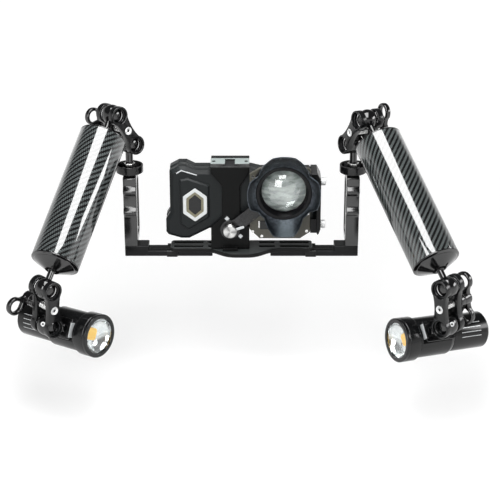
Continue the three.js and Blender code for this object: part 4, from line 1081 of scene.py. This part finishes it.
# Housing shells, bracket and the plates on it, with the rounding of their corners
dressed = [
    ("front_shell", "face_shell", "shellPlastic", "black_polymer", "housing", 0.5),
    ("rear_shell", "back_shell", "shellPlastic", "black_polymer", "housing", 0.5),
    ("bracket_body", "waist_bracket", "bracketBlack", "black_aluminium", "housing", 0.5),
    ("shoe_plate", "accessory_shoe", "shoeGrey", "grey_aluminium", "housing", 0.35),
    ("closing_bar", "side_closing_bar", "blastedBlack", "black_aluminium", "housing", 0.6),
    ("touch_sheet", "screen_sheet", "touchFilm", "black_rubber", "housing", 0.2),
    ("port_plate", "window_plate", "portOlive", "olive_metal", "housing", 0.5),
    ("lens_swing_arm", "swing_arm", "satinBlack", "black_aluminium", "wide_lens", 0.4),
]
for settings in dressed:
    dressNode(*settings)
frame["nodes"]["main_seal"].material_slots[0].material = finishes["softRubber"]

# Badge on the left panel: a bright hexagonal ring, a khaki step inside it and a dark middle
badgeLook = Look(
    centre=(-60, 74), half=(15.5, 23), wall=(4.3, 5.16), core=(7.5, 9), overlap=0.1, darkInset=(0.6, 0.7),
    back=15.4, front=16.9,
)


def hexagon(insetX, insetZ, soft):
    (cx, cz), (halfX, halfZ) = badgeLook.centre, badgeLook.half
    corners = ((0, -1), (1, -0.5), (1, 0.5), (0, 1), (-1, 0.5), (-1, -0.5))
    loop = [(cx + (halfX - insetX) * x, cz + (halfZ - insetZ) * z) for x, z in corners]
    return softened(loop, soft, closed=True)


def makeBadge():
    look = badgeLook
    back, front, (wallX, wallZ) = look.back, look.front, look.wall
    addPlate("hex_badge_ring", [hexagon(0, 0, 1.5), hexagon(wallX, wallZ, 1.0)], back, front, 0.5, upright,
             "badgeSilver", "steel")
    step = hexagon(wallX - look.overlap, wallZ - look.overlap, 1.0)
    addPlate("hex_badge_step", [step, hexagon(*look.core, 0.7)], back - 0.2, front - 0.6, 0.25, upright,
             "badgeKhaki", "olive_metal")
    addPlate("hex_badge_tray", [hexagon(*look.darkInset, 1.4)], back - 0.3, back + 0.15, 0.1, upright,
             "satinBlack", "black_aluminium")


makeBadge()

# Painted highlight: a bright strip along the inner edge of the shell's upper left chamfer
shoulderGlintLook = Look(
    outline=[(-84.2, 116.4), (-77.3, 120.5), (-57.2, 114.2), (-57.6, 112.8), (-77.2, 118.9), (-83.4, 115.1)],
    depth=(11.95, 12.22), edge=0.08,
)
addPlate("shoulder_painted_highlight", [shoulderGlintLook.outline], *shoulderGlintLook.depth, shoulderGlintLook.edge, upright,
         "silverMark", "steel")

# Two diamond marks between which the lens lock's pointer turns
diamondLook = Look(spots=[(-18.6, 55.4), (-1.2, 31)], size=3.3, depth=(17.4, 17.75), edge=0.1)
diamonds = bmesh.new()
for x, z in diamondLook.spots:
    s = diamondLook.size
    addSlab(diamonds, [[(x - s, z), (x, z - s), (x + s, z), (x, z + s)]], *diamondLook.depth,
            diamondLook.edge, upright)
addPiece("lock_marks", diamonds, "silverMark")

# Small bright screws round the port plate and dark ones on the shoe
screwLooks = {
    "window_plate_screws": Look(
        finish="brightSteel", facing=(0, -1, 0),
        spots=[(14.6, -15.95, 112.6), (26, -15.95, 122), (14.6, -15.95, 37), (26.6, -15.95, 30.6),
               (85, -15.95, 37.6), (85.6, -15.95, 113.6), (86, -15.95, 62)],
        sizes={"Head Radius": 0.0019, "Head Height": 0.0006, "Socket Radius": 0.0009, "Socket Depth": 0.0004},
    ),
    "shoe_screws": Look(
        finish="satinBlack", facing=(0, 0, 1), spots=[(-35.5, -8, 130.95), (6.4, -8, 130.95)],
        sizes={"Head Radius": 0.0024, "Head Height": 0.0004, "Socket Radius": 0.0012, "Socket Depth": 0.0003},
    ),
}
for name, look in screwLooks.items():
    heads = runTree(screwTree, look.finish, look.sizes, still, [(spot, look.facing) for spot in look.spots])
    addPiece(name, heads, None)

# Painted shade: a black sheet on the floor of the shoe's mouth; and the port plate's latch with its pin
mouthShadeLook = Look(
    outline=[(-24, -17.4), (-5.1, -17.4), (-5.1, -9), (-8.4, -9), (-8.4, 0.9), (-20.7, 0.9), (-20.7, -9),
             (-24, -9)],
    depth=(127.3, 128.4), edge=0.2,
)
latchLook = Look(
    outline=(24.5, 36.5, 40.5, 52, 1), depth=(15.9, 17.6), edge=0.4,
    pin=[(0, 42.5), (1.5, 42.5), (1.5, 52.5), (0, 52.5)], pinAt=(22.9, -16.9, 0), pinEdge=0.3,
)
# Painted shade: a black sheet in the shoe's mouth
addPlate("shoe_mouth_painted_shade", [mouthShadeLook.outline], *mouthShadeLook.depth, mouthShadeLook.edge, still, "softRubber",
         "black_rubber")
addPlate("plate_latch", [roundedRect(*latchLook.outline)], *latchLook.depth, latchLook.edge, upright,
         "satinBlack", "black_aluminium")
addLathed("plate_latch_pin", softened(latchLook.pin, latchLook.pinEdge), shifted(*latchLook.pinAt), 24,
          "turnedSteel")

# Wide lens: barrel, petal hood, front glass and what is seen behind it, and the camera's window. Petals
# reach furthest at the top and the bottom: degrees from there, and reach in millimetres.
lensLook = Look(
    centre=(54.4, 0, 99), petalSteps=240, hoodSharp=35, hoodEnd=42, flare=1.2, lip=0.35,
    hoodBack=[(35.8, -31), (37.2, -31), (37.4, -31.2), (37.4, -41)], hoodRadii=(35.8, 37.4),
    upperPetal=[(15, 14.5), (52.5, 3), (67.5, 8), (90.1, 8)],
    lowerPetal=[(14, 14.5), (37, 3.2), (54, 3), (66, 8), (90.1, 8)],
    window=[(0, -15.2), (15.6, -15.2), (15.8, -15), (15.8, -12.4), (0, -12.4)],
    throat=[(27.4, -17.8), (27.4, -29.6), (29, -29.6)], throatSteps=4, throatStep=(0.55, 2.2),
    throatFrom=((29, -33.4), (29.55, -33.9)), barrel=[(31.4, -42), (34.9, -42), (35.5, -41.4), (35.5, -17.8)],
    dome=Look(radius=38, edge=28.8, pole=-44.6, back=-30, steps=20),
    rings=[(27.2, -29.4), (26.6, -29.4), (26.2, -29), (26.2, -27.8), (25.6, -27.8), (25.2, -27.4),
           (25.2, -20), (27.2, -20)],
    second=Look(radius=25.1, front=-22.4, rise=6.2, back=-20.5),
)
lensSeat = shifted(*lensLook.centre) @ alongY


def petalReach(angle):
    turned = math.degrees(angle) % 360
    fromPole = min(abs((turned - pole + 180) % 360 - 180) for pole in (90, 270))
    keys = lensLook.upperPetal if turned < 180 else lensLook.lowerPetal
    if fromPole <= keys[0][0]:
        return keys[0][1]
    for (a, ra), (b, rb) in zip(keys, keys[1:]):
        if fromPole <= b:
            return ra + (rb - ra) * (fromPole - a) / (b - a)
    return keys[-1][1]


def hoodSection(angle):
    look = lensLook
    (inner, outer), lip = look.hoodRadii, look.lip
    reach = petalReach(angle)
    flare = look.flare * reach
    end = -look.hoodEnd - reach
    rim = [(outer + flare, end + lip), (outer + flare - lip, end), (inner + flare + lip, end),
           (inner + flare, end + lip), (inner, -look.hoodEnd)]
    return look.hoodBack + rim


def makeHood():
    bm = bmesh.new()
    steps = lensLook.petalSteps
    rows = []
    for angle in [math.tau * i / steps for i in range(steps)]:
        rows.append([bm.verts.new(lensSeat @ (Vector((r * math.cos(angle), -r * math.sin(angle), y)) * mm))
                     for r, y in hoodSection(angle)])
    for a, b in zip(rows, rows[1:] + rows[:1]):
        for k in range(len(a)):
            m = (k + 1) % len(a)
            bm.faces.new((a[k], b[k], b[m], a[m])).smooth = True
    addPiece("petal_hood", bm, "hoodSatin", "wide_lens", ["lens_hood"], lensLook.hoodSharp)


def makeLens():
    look = lensLook
    out, back = look.throatStep
    throat = [(r + out * k, y - back * k) for k in range(look.throatSteps) for r, y in look.throatFrom]
    wall = softened(look.throat + throat + look.barrel, 0.2, closed=True, steps=2)
    addLathed("lens_tube", wall, lensSeat, 160, "lensBlack", "wide_lens", ["lens_barrel"])
    dome = look.dome
    widest = math.asin(dome.edge / dome.radius)
    turns = [widest * k / dome.steps for k in range(dome.steps + 1)]
    front = [(dome.radius * math.sin(a), dome.pole + dome.radius - dome.radius * math.cos(a)) for a in turns]
    addLathed("front_element", front + [(dome.edge, dome.back), (0, dome.back)], lensSeat, 128, "lensGlass",
              "wide_lens", ["lens_front_glass"])
    addLathed("lens_inner_rings", look.rings, lensSeat, 120, "turnedBlack", "wide_lens")
    second = look.second
    bulge = [(second.radius * math.sin(a), second.front - second.rise * math.cos(a))
             for a in [math.radians(turn) for turn in range(0, 91, 6)]]
    addLathed("second_element", bulge + [(second.radius, second.back), (0, second.back)], lensSeat, 96,
              "elementPaintedReflection", "wide_lens")


addLathed("camera_window", lensLook.window, lensSeat, 72, "clearGlass")
makeHood()
makeLens()

# Lock knob on the swing arm's pivot, with its pointer
knobLook = Look(
    pivot=(-14.6, 0, 41.2), edge=0.2, pointerTurn=-18.6, pointerDepth=(25.1, 26.7),
    knob=[(0, -28.9), (2.4, -28.9), (2.6, -29.6), (7.9, -29.6), (9, -28.6), (9, -26.8), (8.4, -26.4),
          (8.4, -25.6), (9, -25.2), (9, -21.6), (4.3, -21.6), (4.3, -25.9), (0, -25.9)],
    pointer=[(7, -1.6), (18.4, -1.6), (19, -1), (19, 1), (18.4, 1.6), (7, 1.6)],
)


def makeLockKnob():
    look = knobLook
    seat = shifted(*look.pivot)
    finishes["spunSteelPaintedSpokes"] = makeSpunFace([value * mm for value in look.pivot])
    addLathed("lock_knob", softened(look.knob, look.edge, steps=2), seat @ alongY, 96, "spunSteelPaintedSpokes",
              "lens_lock", ["lens_lock_knob"])
    turn = Matrix.Rotation(math.radians(look.pointerTurn), 4, "Y")
    addPlate("lock_pointer", [look.pointer], *look.pointerDepth, 0.25, seat @ turn @ upright, "silverMark",
             "steel", "lens_lock")


makeLockKnob()

# Knurled thumb screws of the closing bar
thumbLook = Look(
    heights={"lower": 43.1, "upper": 102.3}, y=-4,
    head=[(0, 103.3), (5.1, 103.3), (5.1, 108.9), (4.5, 109.6), (0, 109.6)],
    knurl={"Count": 30, "Radius": 0.0051, "Start": 0.0, "Sweep": math.tau, "Height": 0.0008, "Width": 0.0006,
           "Length": 0.0048, "Middle": 0.1063},
)
for end, z in thumbLook.heights.items():
    seat = shifted(0, thumbLook.y, z) @ alongX
    thumb = bmesh.new()
    addTurned(thumb, softened(thumbLook.head, 0.3), seat, 48)
    thumb.from_mesh(runTree(ribTree, "boltSilver", thumbLook.knurl, seat))
    addPiece(end + "_knurled_screw", thumb, "boltSilver", end + "_closing_screw",
             [end + "_thumb_screw"])
print("housing, bracket and lens made")

# The studio floor lies so far under the object's lowest point that no pose sinks into it
floorLook = Look(drop=86, color=0.42, speckColor=0.4242, half=15, glowReach=(0.25, 1.5), glow=(0.54, 1))


def makeFloorPaper():
    look = floorLook
    material, tree, shader, place = emptyMaterial("floorPaper")
    rays = tree.nodes.new("ShaderNodeLightPath").outputs
    seen = calc("MAXIMUM", rays["Is Camera Ray"], rays["Is Glossy Ray"])
    seen = calc("MAXIMUM", seen, rays["Is Transmission Ray"])
    away = addNode(tree, "ShaderNodeVectorMath", {0: place}, operation="LENGTH").outputs["Value"]
    glow = spread(away, *look.glowReach, *look.glow)
    fill(tree, shader, {
        "Base Color": blendColors(noise(place, 3.0, 4.0), rgba(look.color), rgba(look.speckColor)),
        "Roughness": 0.9, "Specular IOR Level": 0.1, "Emission Color": rgba(1.0),
        "Emission Strength": times(seen, glow),
    })
    return material


def makeFloor():
    half = floorLook.half
    level = min(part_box(name)[0].z for name in frame["nodes"]) - floorLook.drop * mm
    corners = [(-half, -half, level), (half, -half, level), (half, half, level), (-half, half, level)]
    mesh = bpy.data.meshes.new("studioFloor")
    mesh.from_pydata(corners, [], [(0, 1, 2, 3)])
    mesh.materials.append(makeFloorPaper())
    floor = bpy.data.objects.new("studio_floor", mesh)
    scene.collection.objects.link(floor)


# White where the camera looks; the light that falls from the sky is dim above and brighter near level
skyLook = Look(band=(0.16, 0.40), low=0.6, mirroredLow=1, high=0.08)


def makeSky():
    look = skyLook
    scene.world = bpy.data.worlds.new("studioWorld")
    scene.world.use_nodes = True
    sky = scene.world.node_tree
    sky.nodes.clear()
    height = split(sky.nodes.new("ShaderNodeTexCoord").outputs["Generated"])[2]
    diffuse, mirrored = [spread(height, *look.band, look[low], look.high) for low in ("low", "mirroredLow")]
    rays = sky.nodes.new("ShaderNodeLightPath").outputs
    isMirrored = calc("MAXIMUM", rays["Is Glossy Ray"], rays["Is Transmission Ray"])
    strength = blendValues(rays["Is Camera Ray"], blendValues(isMirrored, diffuse, mirrored), 1)
    background = addNode(sky, "ShaderNodeBackground", {"Color": rgba(1), "Strength": strength})
    addNode(sky, "ShaderNodeOutputWorld", {0: background})


# Three soft boxes: places and sizes in metres, power in watts
lampLooks = {
    "overheadBox": Look(place=(-0.03, -0.46, 0.98), aim=(-0.03, -0.46, 0), size=(0.56, 1.10), power=17),
    "rightBox": Look(place=(1.6, -0.27, 0.65), aim=(0, -0.1, 0.08), size=(1, 0.45), power=12),
    "frontBox": Look(place=(-0.48, -1.33, 0.67), aim=(0.05, -0.04, 0.1), size=(0.75, 0.75), power=14),
}


def makeLampBox(name, look):
    data = bpy.data.lights.new(name, "AREA")
    data.shape = "RECTANGLE"
    data.size, data.size_y = look.size
    data.energy = look.power
    lamp = bpy.data.objects.new(name, data)
    lamp.location = look.place
    lamp.visible_camera = False
    lamp.rotation_euler = (Vector(look.place) - Vector(look.aim)).to_track_quat("Z", "Y").to_euler()
    scene.collection.objects.link(lamp)


# The photograph's camera: target and distance in millimetres, focal length in pixels of a 500 pixel frame
cameraLook = Look(target=(11.2, 0, 4), elevation=22.7, distance=2040, focal=1543, frame=500, sensor=36,
                  clipEnd=200)


def makeCamera():
    look = cameraLook
    data = bpy.data.cameras.new("photoCamera")
    data.sensor_width = look.sensor
    data.sensor_fit = "HORIZONTAL"
    data.lens = look.focal / look.frame * look.sensor
    data.clip_end = look.clipEnd
    rise = math.radians(look.elevation)
    camera = bpy.data.objects.new("photo_camera", data)
    away = Vector((0, -math.cos(rise), math.sin(rise)))
    camera.location = (Vector(look.target) + look.distance * away) * mm
    camera.rotation_euler = Euler((math.pi / 2 - rise, 0, 0))
    scene.collection.objects.link(camera)
    scene.camera = camera


makeFloor()
makeSky()
for lampName, look in lampLooks.items():
    makeLampBox(lampName, look)
makeCamera()
scene.view_settings.view_transform = "Standard"
print("floor, lamps and camera set")
